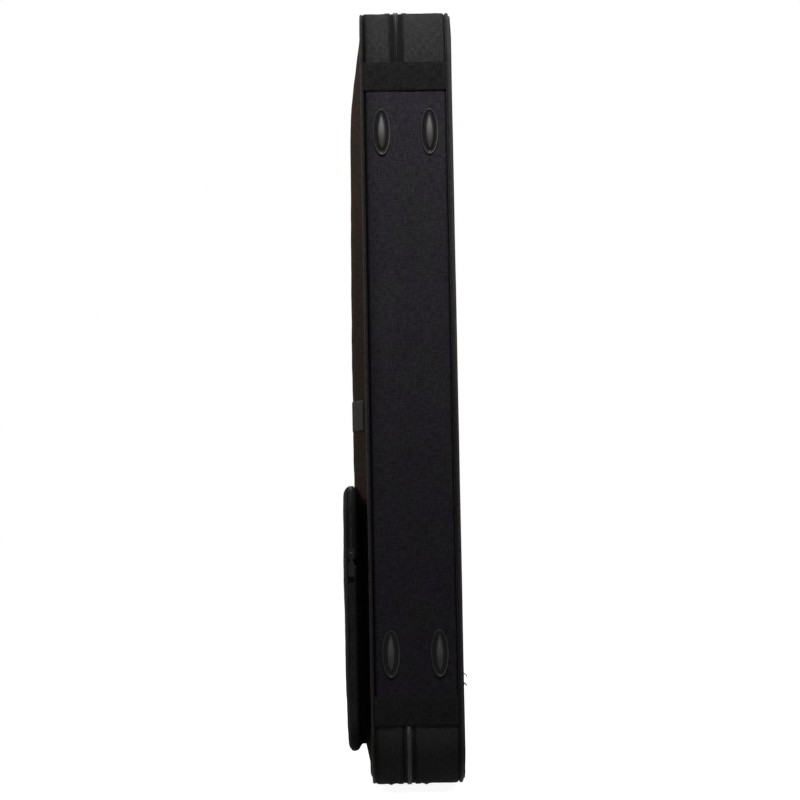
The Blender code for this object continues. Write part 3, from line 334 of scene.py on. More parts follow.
nylon = cloth("black nylon", (0.0198, 0.0196, 0.0200))
hinge_nylon = cloth("hinge nylon", (0.0200, 0.0168, 0.0232), second=(0.0192, 0.0182, 0.0200))
lid_nylon = cloth(
    "lid nylon", (0.0246, 0.0150, 0.0124), second=(0.0222, 0.0172, 0.0130), specular=0.01
)
pocket_nylon = cloth("pocket nylon", (0.0150, 0.0148, 0.0150))
zip_cloth = cloth("zip tape", (0.0065, 0.0065, 0.0068), 2200.0, 0.00008, slubs=2.0)
label_cloth = cloth("bare patch", (0.025, 0.024, 0.025), 2600.0, 0.00006, slubs=6.0)
print("cloths:", [material.name for material in bpy.data.materials])

# %% [markdown]
# Webbing has thick ribs along it, crossed by fine picks. Piping is a cord under thin cloth. The zip's
# coil, the feet and the fittings are moulded or cast, so they get a fine grain, soft scuffs and more
# shine. The lining is a short pile, which scatters light at its edges.

# %% Webbing finish
def ribbed(name, colour, ribs, picks, depth, roughness, specular):
    """Ribs run along the strip as sine waves, and picks cross them half a step aside."""
    material, tree, shader, spot = new_material(name, roughness, specular)
    split = add_node(tree, "ShaderNodeSeparateXYZ", Vector=spot["UV"]).outputs
    rib_place = calc(tree, "MULTIPLY", split[0], ribs)
    odd = calc(tree, "MODULO", calc(tree, "FLOOR", rib_place), 2.0)
    pick_place = calc(tree, "MULTIPLY_ADD", odd, 0.5, calc(tree, "MULTIPLY", split[1], picks))
    lower = calc(tree, "MULTIPLY_ADD", hump(tree, pick_place), 0.5, 0.5)
    height = calc(tree, "MULTIPLY", hump(tree, rib_place), lower)
    clouds = use_group(tree, clouds_group, spot["Object"], Size=0.02)[0]
    mottle = calc(tree, "MULTIPLY_ADD", height, 0.9, clouds)
    mottle = calc(tree, "MULTIPLY_ADD", use_group(tree, slub_group, spot["UV"])[0], 8.0, mottle)
    colour = varied_colour(tree, spot["Object"], colour, mottle, 0.2, 0.12)
    feed(tree, shader, colour, height, 0.8, depth)
    return material


webbing = ribbed("black webbing", (0.0086, 0.0086, 0.0086), 700.0, 420.0, 0.0003, 0.8, 0.03)
piping_cloth = ribbed("piping cloth", (0.0170, 0.0158, 0.0155), 500.0, 900.0, 0.00015, 0.6, 0.04)
print("ribbed:", webbing.name, "and", piping_cloth.name)


# %% Moulded finish
def moulded(name, colour, roughness, specular, grain, lint=0.15):
    """Fine grain from a noise as bump, with slow changes of shine and pale scuffs."""
    material, tree, shader, spot = new_material(name, roughness, specular)
    spot = spot["Object"]
    clouds = use_group(tree, clouds_group, spot, Size=0.012)[0]
    colour = varied_colour(tree, spot, colour, clouds, 0.12, lint)
    feed(tree, shader, colour, noise(tree, spot, 1600.0, 2.0), 0.5, grain)
    rough = calc(tree, "MULTIPLY_ADD", clouds, 0.06, roughness)
    tree.links.new(rough, shader.inputs["Roughness"])
    return material


foot_plastic = moulded("foot plastic", (0.022, 0.021, 0.022), 0.34, 0.10, 0.00003, lint=0.05)
lock_plastic = moulded("buckle plastic", (0.010, 0.010, 0.011), 0.40, 0.16, 0.00004)
coil_plastic = moulded("zip coil", (0.012, 0.012, 0.012), 0.30, 0.08, 0.00001, lint=0.0)
black_metal = moulded("black lacquered metal", (0.010, 0.010, 0.011), 0.28, 0.10, 0.00002)
grip_rubber = moulded("grip rubber", (0.012, 0.012, 0.012), 0.6, 0.2, 0.00008)
thread = moulded("sewing thread", (0.021, 0.020, 0.022), 0.6, 0.08, 0.00002, lint=0.0)
band_thread = moulded("band thread", (0.015, 0.015, 0.015), 0.6, 0.08, 0.00002, lint=0.0)
foam_board = moulded("foam board", (0.060, 0.060, 0.062), 0.9, 0.1, 0.0004, lint=0.3)
print("finishes so far:", len(bpy.data.materials))


# %% Plush finish
def pile(name, colour, depth):
    """Short fibres: a very fine noise for bump and shade, and brushed streaks from a wider one."""
    material, tree, shader, spot = new_material(name, 0.95, 0.05, sheen=0.25)
    spot = spot["Object"]
    fibres = noise(tree, spot, 1100.0, 3.0)
    brushed = use_group(tree, clouds_group, spot, Size=0.03)[0]
    shade = calc(tree, "MULTIPLY_ADD", fibres, 1.2, brushed)
    feed(tree, shader, varied_colour(tree, spot, colour, shade, 0.25, 0.3), fibres, 0.9, depth)
    return material


plush = pile("grey plush", (0.045, 0.043, 0.046), 0.0008)
print("finishes:", len(bpy.data.materials))

# %% [markdown]
# Shapes are grids of points worked out as whole arrays. A shape here is three arrays: the points, the
# four corners of each face, and where each corner lies on the cloth in metres. Shapes can be put
# together, repeated along a line, and made into an object that sits at the origin.

# %% Grids of faces
def lattice(points, around=False, along=False, flat=None):
    """Joins rows of points into faces. around closes each row, along joins the last row to the first.
    The cloth's place is the mean length walked across and along, or the given flat place."""
    rows, columns = points.shape[:2]
    row, column = np.meshgrid(
        np.arange(rows if along else rows - 1),
        np.arange(columns if around else columns - 1),
        indexing="ij",
    )
    row, column = row.ravel(), column.ravel()
    corner_rows = np.stack((row, row, row + 1, row + 1), 1)
    corner_columns = np.stack((column, column + 1, column + 1, column), 1)
    faces = corner_rows % rows * columns + corner_columns % columns
    if flat is None:
        steps = np.linalg.norm(np.roll(points, -1, 1) - points, axis=2).mean(0)
        rises = np.linalg.norm(np.roll(points, -1, 0) - points, axis=2).mean(1)
        walked = np.concatenate(((0.0,), np.cumsum(steps)))
        climbed = np.concatenate(((0.0,), np.cumsum(rises)))
        places = np.stack((walked[corner_columns], climbed[corner_rows]), 2)
    else:
        places = flat[corner_rows % rows, corner_columns % columns]
    return points.reshape(-1, 3), faces, places


def facing(points, around=False):
    """A grid whose cloth lies flat, as seen along Y."""
    return lattice(points, around=around, flat=points[:, :, (0, 2)])


def capped(points):
    """A section carried along a line, closed: a first and a last row lie at the section's middle."""
    first = np.broadcast_to(points[:1].mean(1, keepdims=True), points[:1].shape)
    last = np.broadcast_to(points[-1:].mean(1, keepdims=True), points[-1:].shape)
    return lattice(np.concatenate((first, points, last)), around=True)


def together(*shapes):
    """Several shapes as one, with the faces of each counted on from the points before it."""
    counts = np.cumsum([0] + [len(shape[0]) for shape in shapes])
    points = np.concatenate([shape[0] for shape in shapes])
    faces = np.concatenate([shape[1] + count for shape, count in zip(shapes, counts)])
    return points, faces, np.concatenate([shape[2] for shape in shapes])


def rim_of(sheet):
    """The points round the edge of a grid, once round."""
    return np.concatenate((sheet[0], sheet[1:, -1], sheet[-1, -2::-1], sheet[-2:0:-1, 0]))


def two_layers(front, back):
    """A bag of two grids of the same size, with a wall that joins their rims."""
    wall = lattice(np.stack((rim_of(front), rim_of(back))), around=True)
    return together(facing(front), facing(back[:, ::-1]), wall)


print("faces of a bag of 3 by 3 points:", len(two_layers(*np.zeros((2, 3, 3, 3)))[1]))


# %% Small grains, repeated
def bead(length, width, height, arch=0.0):
    """A small six-sided grain, thinner at both ends, with each end closed by two faces. With an
    arch, its ends hang lower than its middle."""
    angle = np.arange(6) * math.pi / 3
    section = np.stack((np.zeros(6), np.cos(angle) * width / 2, np.sin(angle) * height / 2), 1)
    steps = np.array((-0.5, -0.36, -0.12, 0.12, 0.36, 0.5)) * length
    sizes = np.array((0.5, 1.0, 1.0, 1.0, 1.0, 0.5))
    points = section[None] * sizes[:, None, None]
    points[:, :, 0] = steps[:, None]
    points[:, :, 2] -= arch * (2 * steps[:, None] / length) ** 2
    if arch == 0:
        points = points[(0, 1, 4, 5), :]
    grid, faces, places = lattice(points, around=True)
    ends = np.array(((3, 2, 1, 0), (5, 4, 3, 0), (0, 1, 2, 3), (0, 3, 4, 5)))
    ends[2:] += len(grid) - 6
    return grid, np.concatenate((faces, ends)), np.concatenate((places, np.zeros((4, 4, 2))))


def repeated(shape, spots, along, up):
    """Copies of a small shape: its X points along, its Z up and its Y across the two."""
    across = np.cross(up, along)
    points, faces, places = shape
    moved = (
        spots[:, None]
        + points[None, :, :1] * along[:, None]
        + points[None, :, 1:2] * across[:, None]
        + points[None, :, 2:] * up[:, None]
    )
    first = np.arange(len(spots))[:, None, None] * len(points)
    return (
        moved.reshape(-1, 3),
        (faces[None] + first).reshape(-1, 4),
        np.tile(places, (len(spots), 1, 1)),
    )


print("faces of a stitch:", len(bead(1.0, 1.0, 1.0)[1]))


# %% Objects from shapes
same_place = 0.000002
print("points are merged within", same_place * 1000, "mm")


def points_of(mesh):
    """The points of a mesh, as rows of x, y and z."""
    points = np.empty(len(mesh.vertices) * 3, np.float32)
    mesh.vertices.foreach_get("co", points)
    return points.reshape(-1, 3).astype(float)


def clean(mesh, weld=True, flat_angle=None):
    """Merges doubled points, as at seams and poles, and turns all faces outwards. Faces that lie in
    one plane, within the flat angle, are joined, or else edges without length are dropped."""
    work = bmesh.new()
    work.from_mesh(mesh)
    if weld:
        bmesh.ops.remove_doubles(work, verts=work.verts, dist=same_place)
    if flat_angle:
        bmesh.ops.dissolve_limit(
            work, verts=work.verts, edges=work.edges, angle_limit=flat_angle
        )
    elif weld:
        bmesh.ops.dissolve_degenerate(work, edges=work.edges, dist=same_place)
    bmesh.ops.recalc_face_normals(work, faces=work.faces)
    work.to_mesh(mesh)
    work.free()


def make_piece(name, shape, material, smooth=True, weld=True):
    """A mesh object from a shape, moved from the case's coordinates to the model's."""
    points, faces, places = shape
    mesh = bpy.data.meshes.new(name)
    mesh.vertices.add(len(points))
    mesh.vertices.foreach_set("co", (points + case_shift).astype(np.float32).ravel())
    mesh.loops.add(faces.size)
    mesh.loops.foreach_set("vertex_index", faces.astype(np.int32).ravel())
    mesh.polygons.add(len(faces))
    mesh.polygons.foreach_set("loop_start", np.arange(len(faces), dtype=np.int32) * 4)
    mesh.uv_layers.new(name="UVMap").data.foreach_set("uv", places.astype(np.float32).ravel())
    mesh.update(calc_edges=True)
    clean(mesh, weld)
    mesh.polygons.foreach_set("use_smooth", np.full(len(mesh.polygons), smooth))
    mesh.update()
    mesh.materials.append(material)
    return add_object(name, mesh)


def attach(piece, body, slot, *nodes):
    """The piece rides on a body and stands for these CAD nodes, which it hides. A piece that spans two
    bodies is given no body here. The slot is not used."""
    if body:
        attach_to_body(piece, body)
    if nodes:
        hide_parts(*nodes)
    print(f"{piece.name}: {len(piece.data.polygons)} faces, on {body or 'two bodies'}")
    return piece


def mark(piece, label, amount_at):
    """Writes an amount from 0 to 1 at each point, for the finishes to read: one darkens seams and
    painted shade, the other lightens dust and painted highlights. amount_at is given the points in the
    case's coordinates."""
    amount = np.clip(amount_at(*(points_of(piece.data) - case_shift).T), 0, 1)
    values = piece.data.attributes.new(label, "FLOAT", "POINT").data
    values.foreach_set("value", amount.astype(np.float32))
    return piece


def dress(name, shape, material, body, slot, *nodes, weld=True, **marks):
    """Makes a piece from a shape, writes its marks and attaches it."""
    piece = make_piece(name, shape, material, weld=weld)
    for label, amount_at in marks.items():
        mark(piece, label, amount_at)
    return attach(piece, body, slot, *nodes)


# %% Soft curves
def eased(share):
    """Rises softly from 0 to 1 and stays there: three squares less two cubes."""
    share = np.clip(share, 0, 1)
    return share * share * (3 - 2 * share)


def quarter_wave(share):
    """Rises from 0 to 1 as a quarter of a sine wave, and stays there."""
    return np.sin(math.pi / 2 * np.clip(share, 0, 1))


def bell(distance, width):
    """1 at no distance, falling as a bell: e to the power of minus the square of the two's ratio."""
    return np.exp(-((distance / width) ** 2))


def near_floor(z, height):
    """1 near the floor, fading to 0 over the 50 mm below this height."""
    return eased((height - z) / 0.05)


def ripple(u, v, length, seed):
    """Soft unevenness from about -1 to 1: seven sine waves of about this length, each in its own
    direction, added up."""
    waves, draw = 7, np.random.default_rng(seed)
    total = np.zeros(np.broadcast(u, v).shape)
    for _ in range(waves):
        direction, phase, stretch = draw.uniform((0, 0, 0.7), (math.pi, 2 * math.pi, 1.5))
        walked = u * math.cos(direction) + v * math.sin(direction)
        total = total + np.sin(walked * 2 * math.pi / (length * stretch) + phase)
    return total / (1.5 * math.sqrt(waves))


def bent(start, corner, stop, count):
    """Points on a curve that leaves start towards the corner and comes in to stop from it: a
    quadratic Bezier curve."""
    t = np.linspace(0, 1, count)[:, None]
    return (1 - t) ** 2 * start + 2 * t * (1 - t) * corner + t**2 * stop


def row_reach(height, width, length, radius):
    """How far a rectangle with round corners reaches aside, at a height from its middle. Width and
    length are halves: the side, less what the corner's circle takes away."""
    rise = np.maximum(height - (length - radius), 0)
    return width - radius + np.sqrt(np.maximum(radius**2 - rise**2, 0))


print("reach at the top:", row_reach(half_length, half_width, half_length, corner_radius))

# %% [markdown]
# The case, its pocket and even the small rings share one outline: a rectangle with round corners. A
# point of it is a corner's centre, or a place between two, plus the radius in the direction of its
# turn. Moved outwards, only the radius grows, so lines at any distance keep the same points.

# %% Rounded outlines
class RoundedLine:
    """Points round a rectangle with round corners, from start up the +X side and round to end."""

    def __init__(self, width, height, radius, middle, spacing, corner=20, start=None, end=None):
        """Points lie about spacing apart on the straight sides, and corner of them on each turn."""
        self.side, self.rise = width / 2 - radius, height / 2 - radius
        self.radius, self.middle = radius, middle
        begin = 0.0 if start is None else (start - middle) / self.rise
        stop = begin if end is None else (end - middle) / self.rise
        quarter = np.linspace(0, math.pi / 2, corner + 1)[:-1]
        share_x, share_z, angle = [], [], []
        corners = ((1, 1), (-1, 1), (-1, -1), (1, -1), (1, stop))
        here = (1.0, begin)
        for number, (to_x, to_z) in enumerate(corners):
            run = abs(to_x - here[0]) * self.side + abs(to_z - here[1]) * self.rise
            steps = max(int(round(run / spacing)), 1)
            part = np.arange(steps) / steps
            share_x.append(here[0] + (to_x - here[0]) * part)
            share_z.append(here[1] + (to_z - here[1]) * part)
            angle.append(np.full(steps, number * math.pi / 2))
            here = (float(to_x), float(to_z))
            if number < 4:
                share_x.append(np.full(corner, here[0]))
                share_z.append(np.full(corner, here[1]))
                angle.append(number * math.pi / 2 + quarter)
        if end is not None:
            share_x.append(np.ones(1))
            share_z.append(np.full(1, stop))
            angle.append(np.full(1, 2 * math.pi))
        self.share_x, self.share_z = np.concatenate(share_x), np.concatenate(share_z)
        turn_angle = np.concatenate(angle)
        self.turn_x, self.turn_z = np.cos(turn_angle), np.sin(turn_angle)
        self.measure()

    def measure(self):
        """The length walked along the line, from its first point to each point."""
        x, z = self.at(0.0)
        self.length = np.concatenate(((0.0,), np.cumsum(np.hypot(np.diff(x), np.diff(z)))))

    def at(self, outward, shrink=0.0):
        """The line moved outwards, then shrunk by a share towards the middle segment."""
        left = 1 - shrink
        side, radius = self.side * left, (self.radius + outward) * left
        reach = self.side + self.radius + outward
        rise = self.rise + self.radius + outward - reach * shrink - radius
        return (
            side * self.share_x + radius * self.turn_x,
            self.middle + rise * self.share_z + radius * self.turn_z,
        )

    def carry(self, outward, across):
        """Carries a section along the line: each point moves outwards and stands at Y across."""
        outward = np.broadcast_to(outward, (len(self.share_x), np.shape(across)[-1]))
        x = self.side * self.share_x[:, None] + (self.radius + outward) * self.turn_x[:, None]
        z = self.rise * self.share_z[:, None] + (self.radius + outward) * self.turn_z[:, None]
        return np.stack((x, np.broadcast_to(across, x.shape), z + self.middle), 2)

    def walk(self, spacing, outward, across, margin, first=0.0):
        """Evenly spaced spots on the line, with the directions along it and outwards."""
        place = np.arange(margin + first, self.length[-1] - margin, spacing)
        x, z = self.at(outward)
        x, z, up_x, up_z = (
            np.interp(place, self.length, values) for values in (x, z, self.turn_x, self.turn_z)
        )
        spots = np.stack((x, np.full(len(place), across), z), 1)
        up = np.stack((up_x, np.zeros(len(place)), up_z), 1)
        up /= np.linalg.norm(up, axis=1)[:, None]
        return spots, np.stack((-up[:, 2], up[:, 1], up[:, 0]), 1), up


case_line = dict(
    width=2 * half_width, height=2 * half_length, radius=corner_radius, middle=case_middle
)
full_line = RoundedLine(**case_line, spacing=0.007)
band_top, band_bottom, band_height = 1.1375, 0.1075, 0.045
zip_top, zip_bottom = band_top - band_height / 2, band_bottom + band_height / 2
zip_line = RoundedLine(**case_line, spacing=0.006, start=zip_top, end=zip_bottom)
print("zip length:", round(float(zip_line.length[-1]), 3), "m")

# %% [markdown]
# The side cloth of each half is one long strip of nylon. At the zip it is folded over and sewn, so a
# hem about a millimetre proud runs on both sides of the zip. At the piping it dips into the seam.
# A flat ribbon would look like paper, so the section has that hem and dip, and the cloth over the
# foam waves a little. Near the floor it is dusty.

# %% Side cloth of both halves
lid_seam, back_seam, hem_edge = -0.0508, 0.0768, 0.0096


def gusset_section(deep):
    """Across the strip from the zip to the piping, deep millimetres away: each point's place and how
    far it stands out, worked out in millimetres and given back in metres."""
    edge = np.array(
        ((9.0, -0.3), (9.15, 0.45), (9.7, 0.8), (11.0, 0.9), (14.5, 0.88), (16.9, 0.75),
         (17.7, 0.25), (18.4, 0.0), (21.0, 0.0))
    )
    body = np.stack((np.linspace(24, deep - 8, 9), np.zeros(9)), 1)
    seam = np.array(
        ((deep - 4, 0.0), (deep - 2.4, -0.15), (deep - 1.4, -0.6), (deep - 0.7, -1.3), (deep, -2.5))
    )
    back = np.array(
        ((deep, -3.2), (deep - 2.2, -2.6), (deep - 4.5, -1.55), ((deep + 9) / 2, -1.5), (9.0, -1.5))
    )
    return np.concatenate((edge, body, seam, back)) / 1000


def seam_depth(x, y, z):
    """Painted shade: 1 at either piping seam, as if the groove lay in shadow, fading as a bell over
    three millimetres, with a wide weak bell beside the lid's seam, where the cloth is drawn in, and a
    narrow one at the hem's edge."""
    near_lid = y - lid_seam
    nearest = np.minimum(np.abs(y - back_seam), np.abs(near_lid))
    drawn_in = 0.30 * bell(near_lid, 0.013) * (near_lid > 0)
    return np.maximum(bell(nearest, 0.0024) + drawn_in, 0.95 * bell(np.abs(y) - hem_edge, 0.0015))


def gusset_shape(half, deep, seed):
    """The section carried round, with hem puckers at each stitch and long waves over the foam."""
    section = gusset_section(deep)
    place, outward = section[:, 0], section[:, 1]
    top = np.arange(len(place)) < len(place) - 5
    walked = zip_line.length[:, None]
    over_foam = np.clip((place - 0.019) / 0.008, 0, 1)
    over_foam = over_foam * np.clip((deep / 1000 - place) / 0.008, 0, 1)
    waves = 0.00045 * ripple(walked, place, 0.085, seed) * over_foam * top
    puckers = 0.0001 * np.sin(walked * 2 * math.pi / 0.0065) * (place < 0.018) * top
    crease = 0.0003 * ripple(walked, place * 2, 0.022, seed + 1) * over_foam * top
    return capped(zip_line.carry(outward + waves + puckers + crease, half * place))


def dusty(x, y, z):
    """A little dust on the lowest part of the side cloth."""
    return 0.06 * near_floor(z, 0.135)


for body, half, deep, seed in (("base", 1, 77, 11), ("lid", -1, 53, 12)):
    dress(
        f"{body}_side_cloth", gusset_shape(half, deep, seed), nylon, body, "nylon",
        f"{body}_gusset", worn=dusty, seam=seam_depth,
    )

# %% Hem stitches
stitch_pitch = 0.0034
for body, half in (("base", 1), ("lid", -1)):
    spots, along, up = zip_line.walk(stitch_pitch, 0.00090, half * 0.0160, margin=0.004)
    stitches = repeated(bead(stitch_pitch * 0.74, 0.00055, 0.0005), spots, along, up)
    dress(f"{body}_hem_stitches", stitches, thread, body, "nylon", weld=False)

# %% [markdown]
# The hinge is one piece of the same cloth. It runs down the whole side between the two webbing bands
# and simply bends when the lid opens, so it is made as a single strip.

# %% Hinge cloth
hinge_low, hinge_high = 0.1302, 1.1148


def hinge_shape():
    """A straight strip with its face 200 mm out, waving a little, and dipping into both pipings.
    Its points across are given in millimetres."""
    z = np.linspace(hinge_low, hinge_high, 190)[:, None]
    place = np.concatenate(
        ((-53, -52.4, -51.6, -50.8, -49.8, -48.4), np.linspace(-46, 70, 30),
         (72.4, 73.8, 74.8, 75.6, 76.4, 77))
    ) / 1000
    nearest = np.minimum(place - place[0], place[-1] - place)
    dip = -0.0026 * bell(nearest, 0.0024)
    inside = np.clip(nearest / 0.012, 0, 1)
    waves = 0.0005 * ripple(z, place, 0.13, 21) + 0.0002 * ripple(z, place * 1.5, 0.035, 22)
    face = half_width + dip + waves * inside - 0.0002
    back = half_width - 0.0015 + np.broadcast_to(dip * 0.8, face.shape)
    outward = np.concatenate((face, back[:, ::-1]), 1)
    across = np.broadcast_to(np.concatenate((place, place[::-1])), outward.shape)
    return capped(np.stack((outward, across, np.broadcast_to(z, outward.shape)), 2))


def hinge_shade(x, y, z):
    """Painted shade at the seams, and painted shade that darkens the lower half towards the bottom."""
    return np.maximum(seam_depth(x, y, z) * (np.abs(y) > 0.012), 0.22 * eased((0.75 - z) / 0.45))


def bend_with_lid(piece):
    """Moves the piece's placement into its points, so that it stays in place without a body."""
    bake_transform(piece)
    return piece


hinge_piece = mark(make_piece("hinge_cloth", hinge_shape(), hinge_nylon), "seam", hinge_shade)
attach(bend_with_lid(hinge_piece), None, "nylon", "base_hinge_panel", "lid_hinge_panel")

# %% [markdown]
# A band of wide webbing crosses the hinge at each end of the zip and is sewn down all round. It takes
# the strain of the opening lid. Like all webbing here it is a flat strip with rounded selvedges,
# carried along a line.

# %% Webbing strips
def webbing_shape(centre, side, up, width, wall):
    """A strip along centre: its section is a flat rounded bar, width along side and wall along up."""
    shares = np.array((-1, -0.985, -0.94, -0.6, -0.2, 0.2, 0.6, 0.94, 0.985, 1))
    thick = np.array((0.25, 0.75, 1, 0.96, 0.96, 0.96, 0.96, 1, 0.75, 0.25))
    across = (np.concatenate((shares, shares[::-1])) * width / 2)[None, :, None]
    rise = (np.concatenate((thick, -thick[::-1])) * wall / 2)[None, :, None]
    return capped(centre[:, None] + across * side[:, None] + rise * up[:, None])


def constant(vector, count):
    """The same direction for each of a number of points."""
    return np.tile(np.array(vector, float), (count, 1))


def band_shape(low):
    """A band across the hinge side from piping to piping, pressed down by its own seams."""
    y = np.linspace(back_seam, -0.0528, 60)
    x = np.full(60, half_width + 0.0013) + 0.00012 * np.sin(y * 900)
    centre = np.stack((x, y, np.full(60, low + band_height / 2)), 1)
    return webbing_shape(
        centre, constant((0, 0, 1), 60), constant((1, 0, 0), 60), band_height, 0.0020
    )


band_lows = {"top": band_top - band_height, "bottom": band_bottom}
for end, low in band_lows.items():
    band_piece = make_piece(f"{end}_band", band_shape(low), webbing)
    mark(band_piece, "worn", lambda x, y, z: 0.02 * near_floor(z, 0.20))
    attach(bend_with_lid(band_piece), None, "webbing", f"{end}_band_base", f"{end}_band_lid")


# %% Box stitches on the bands
def stitched_run(corners):
    """Evenly spaced spots along straight runs between corners, with their directions."""
    spots, along = [], []
    for start, stop in zip(corners[:-1], corners[1:]):
        start, stop = np.array(start, float), np.array(stop, float)
        length = np.linalg.norm(stop - start)
        count = max(int(length / stitch_pitch), 1)
        part = (np.arange(count) + 0.5)[:, None] / count
        spots.append(start + (stop - start) * part)
        along.append(np.tile((stop - start) / length, (count, 1)))
    return np.concatenate(spots), np.concatenate(along)


def band_box(low, near, far):
    """A sewn box on one half of a band, with its side next to the hinge sewn twice."""
    x, bottom, top = half_width + 0.0023, low + 0.004, low + band_height - 0.004
    ring = ((x, near, bottom), (x, near, top), (x, far, top), (x, far, bottom), (x, near, bottom))
    inner = near + (0.003 if far > near else -0.003)
    return stitched_run(ring + ((x, inner, bottom), (x, inner, top)))


for body, near, far in (("base", 0.010, 0.073), ("lid", -0.010, -0.049)):
    runs = [band_box(low, near, far) for low in band_lows.values()]
    spots, along = (np.concatenate([run[part] for run in runs]) for part in (0, 1))
    stitches = repeated(bead(0.0026, 0.0006, 0.0005), spots, along, constant((1, 0, 0), len(spots)))
    dress(f"band_stitches_{body}", stitches, band_thread, body, "webbing", weld=False)

# %% [markdown]
# Piping covers the seam between the side cloth and each face. It is a cord in a sleeve of thin cloth,
# so its roundness wobbles slightly where the sleeve was pulled round the corners. The upper part of
# the back's piping gets a painted highlight.

# %% Piping
def piping_shape(across, radius, seed):
    """A circle carried round the case, swelling and shrinking a little on its way. Both ends of
    the case pull it in by a little more than its sides."""
    line = RoundedLine(**case_line, spacing=0.005, corner=36)
    angle = np.linspace(0, 2 * math.pi, 15)[:-1]
    walked = line.length[:, None]
    radius = radius * (1 + 0.03 * ripple(walked, angle * 0.003, 0.014, seed) - 0.015)
    drawn_in = 0.0017 * eased((np.abs(line.at(0.0)[1] - case_middle) - 0.53) / 0.06)[:, None]
    outward = -0.0014 - drawn_in + radius * np.cos(angle)
    points = line.carry(outward, across + radius * np.sin(angle))
    return lattice(points, around=True, along=True)


def painted_piping_highlight(x, y, z):
    """Painted highlight: the back's piping is lighter from the middle of the case upwards."""
    return 0.06 * (y > 0) * eased((z - 0.55) / 0.2)


for body, across, radius, seed in (("lid", -0.0551, 0.0028, 31), ("base", 0.0812, 0.0033, 32)):
    dress(
        f"{body}_piping_cord", piping_shape(across, radius, seed), piping_cloth, body,
        "piping_vinyl", f"{body}_piping", worn=painted_piping_highlight, seam=seam_depth,
    )

# %% [markdown]
# The two faces are cloth over foam. The back is flat, with a soft rim that stands proud beside the
# piping. The lid is padded and crowned: it rises over its side shoulders as a quarter wave to the
# power one and a half, fades out towards the upper end as a quarter wave squared, and ends below in
# a small fold. Rings of points shrink from the piping to the middle line, so the shading follows the
# shoulder all round.

# %% Crown of the lid
face_inset, cloth_wall = 0.0046, 0.0014
shoulder_width, crown_height, middle_swell = 0.070, 0.0185, 0.0040


def lid_crown(x, z):
    """How far the lid's padding stands proud of its edge. Below the upper end it swells over
    190 mm. At the lower end a fold of 5 mm comes first, and the rest swells behind it."""
    height = np.abs(z - case_middle)
    row = row_reach(height, half_width, half_length, corner_radius)
    side = quarter_wave((row - np.abs(x) - face_inset) / shoulder_width) ** 1.5
    inside = half_length - height - face_inset
    lower = 0.28 * quarter_wave(inside / 0.012) + 0.72 * quarter_wave((inside - 0.030) / 0.120)
    ends = np.where(z > case_middle, quarter_wave(inside / 0.190) ** 2, lower)
    return side * (crown_height * ends + middle_swell * quarter_wave((0.42 - height) / 0.40))


def face_sheet(line, inset, face, depth, rings=30):
    """A closed sheet: rings of the outer face from its middle to the edge, then the inner ones back.
    The rings lie closer together towards the edge."""
    rows = [line.at(-inset, share) for share in np.linspace(0, 1, rings) ** 1.7]
    x, z = (np.stack([row[axis] for row in rows]) for axis in (0, 1))
    outer = np.stack((x, face(x, z), z), 2)
    inner = np.stack((x, face(x, z) + depth, z), 2)
    return facing(np.concatenate((outer[::-1], inner)), around=True)


def case_edge(x, z):
    """How far a point lies inside the case's outline, with its corners taken as square."""
    return np.minimum(half_width - np.abs(x), half_length - np.abs(z - case_middle))


def off_seam(edge, start=0.006):
    """0 up to this far inside the edge, and 1 from 30 mm further in."""
    return np.clip((edge - start) / 0.03, 0, 1)


def lid_outside(x, z):
    """The lid's face, with soft waves in the cloth and a dip into the seam."""
    waves = 0.0005 * ripple(x, z, 0.12, 41) + 0.00022 * ripple(x, z, 0.034, 42)
    return -lid_face_edge - lid_crown(x, z) - waves * off_seam(case_edge(x, z))


def back_outside(x, z):
    """The back's face: a soft rim stands 6 mm proud beside the piping, and the field of the
    straps is flat."""
    edge = case_edge(x, z)
    aside = np.maximum(np.abs(x) - 0.125, np.abs(z - 0.48) - 0.37)
    rim = 0.0060 * quarter_wave((edge - face_inset) / 0.008) * eased(aside / 0.05)
    return back_face_edge + rim - 0.0004 * (1 + ripple(x, z, 0.15, 43)) * off_seam(edge)


def painted_shade_beside_pocket(x, y, z):
    """Painted shade: the lid's cloth beside the pocket is darkened as if deep in a crevice, all along
    the pocket's side, and the shoulder above it is painted a little darker towards the bottom."""
    beside = eased((np.abs(x) - 0.125) / 0.04) * (np.abs(x) < 0.1945)
    crevice = eased((0.204 - np.abs(z - 0.268)) / 0.030)
    return beside * np.maximum(crevice, 0.30 * eased((1.0 - z) / 0.25))


lid_sheet = face_sheet(full_line, face_inset, lid_outside, cloth_wall)
dress("lid_cover", lid_sheet, lid_nylon, "lid", "nylon", "front_cover", seam=painted_shade_beside_pocket)
back_sheet = face_sheet(full_line, face_inset, back_outside, -cloth_wall)
dress("back_face", back_sheet, nylon, "base", "nylon", "back_cover")

# %% [markdown]
# A coil zip is two woven tapes, each with a plastic thread wound along its edge. The turns of one
# side sit between those of the other. Each turn is one small grain, set at its real spacing along
# the tape, because the coil catches the light as a fine broken line.

# %% Zip tapes and coils
coil_pitch = 0.0014


def tape_shape(line, half, far, place):
    """A flat ribbon beside the coil, a millimetre thick, with a thicker cord along its inner edge."""
    near, high = 0.0014, -0.0004
    shares = np.array((0, 0.02, 0.1, 0.3, 0.6, 0.97, 1, 1, 0.97, 0.5, 0.02, 0))
    rise = np.array((-0.4, 0.3, 0.15, 0.0, 0.0, 0.0, -0.3, -0.8, -1, -1, -1, -0.9))
    return capped(line.carry(high + rise * 0.001, place + half * (near + (far - near) * shares)))


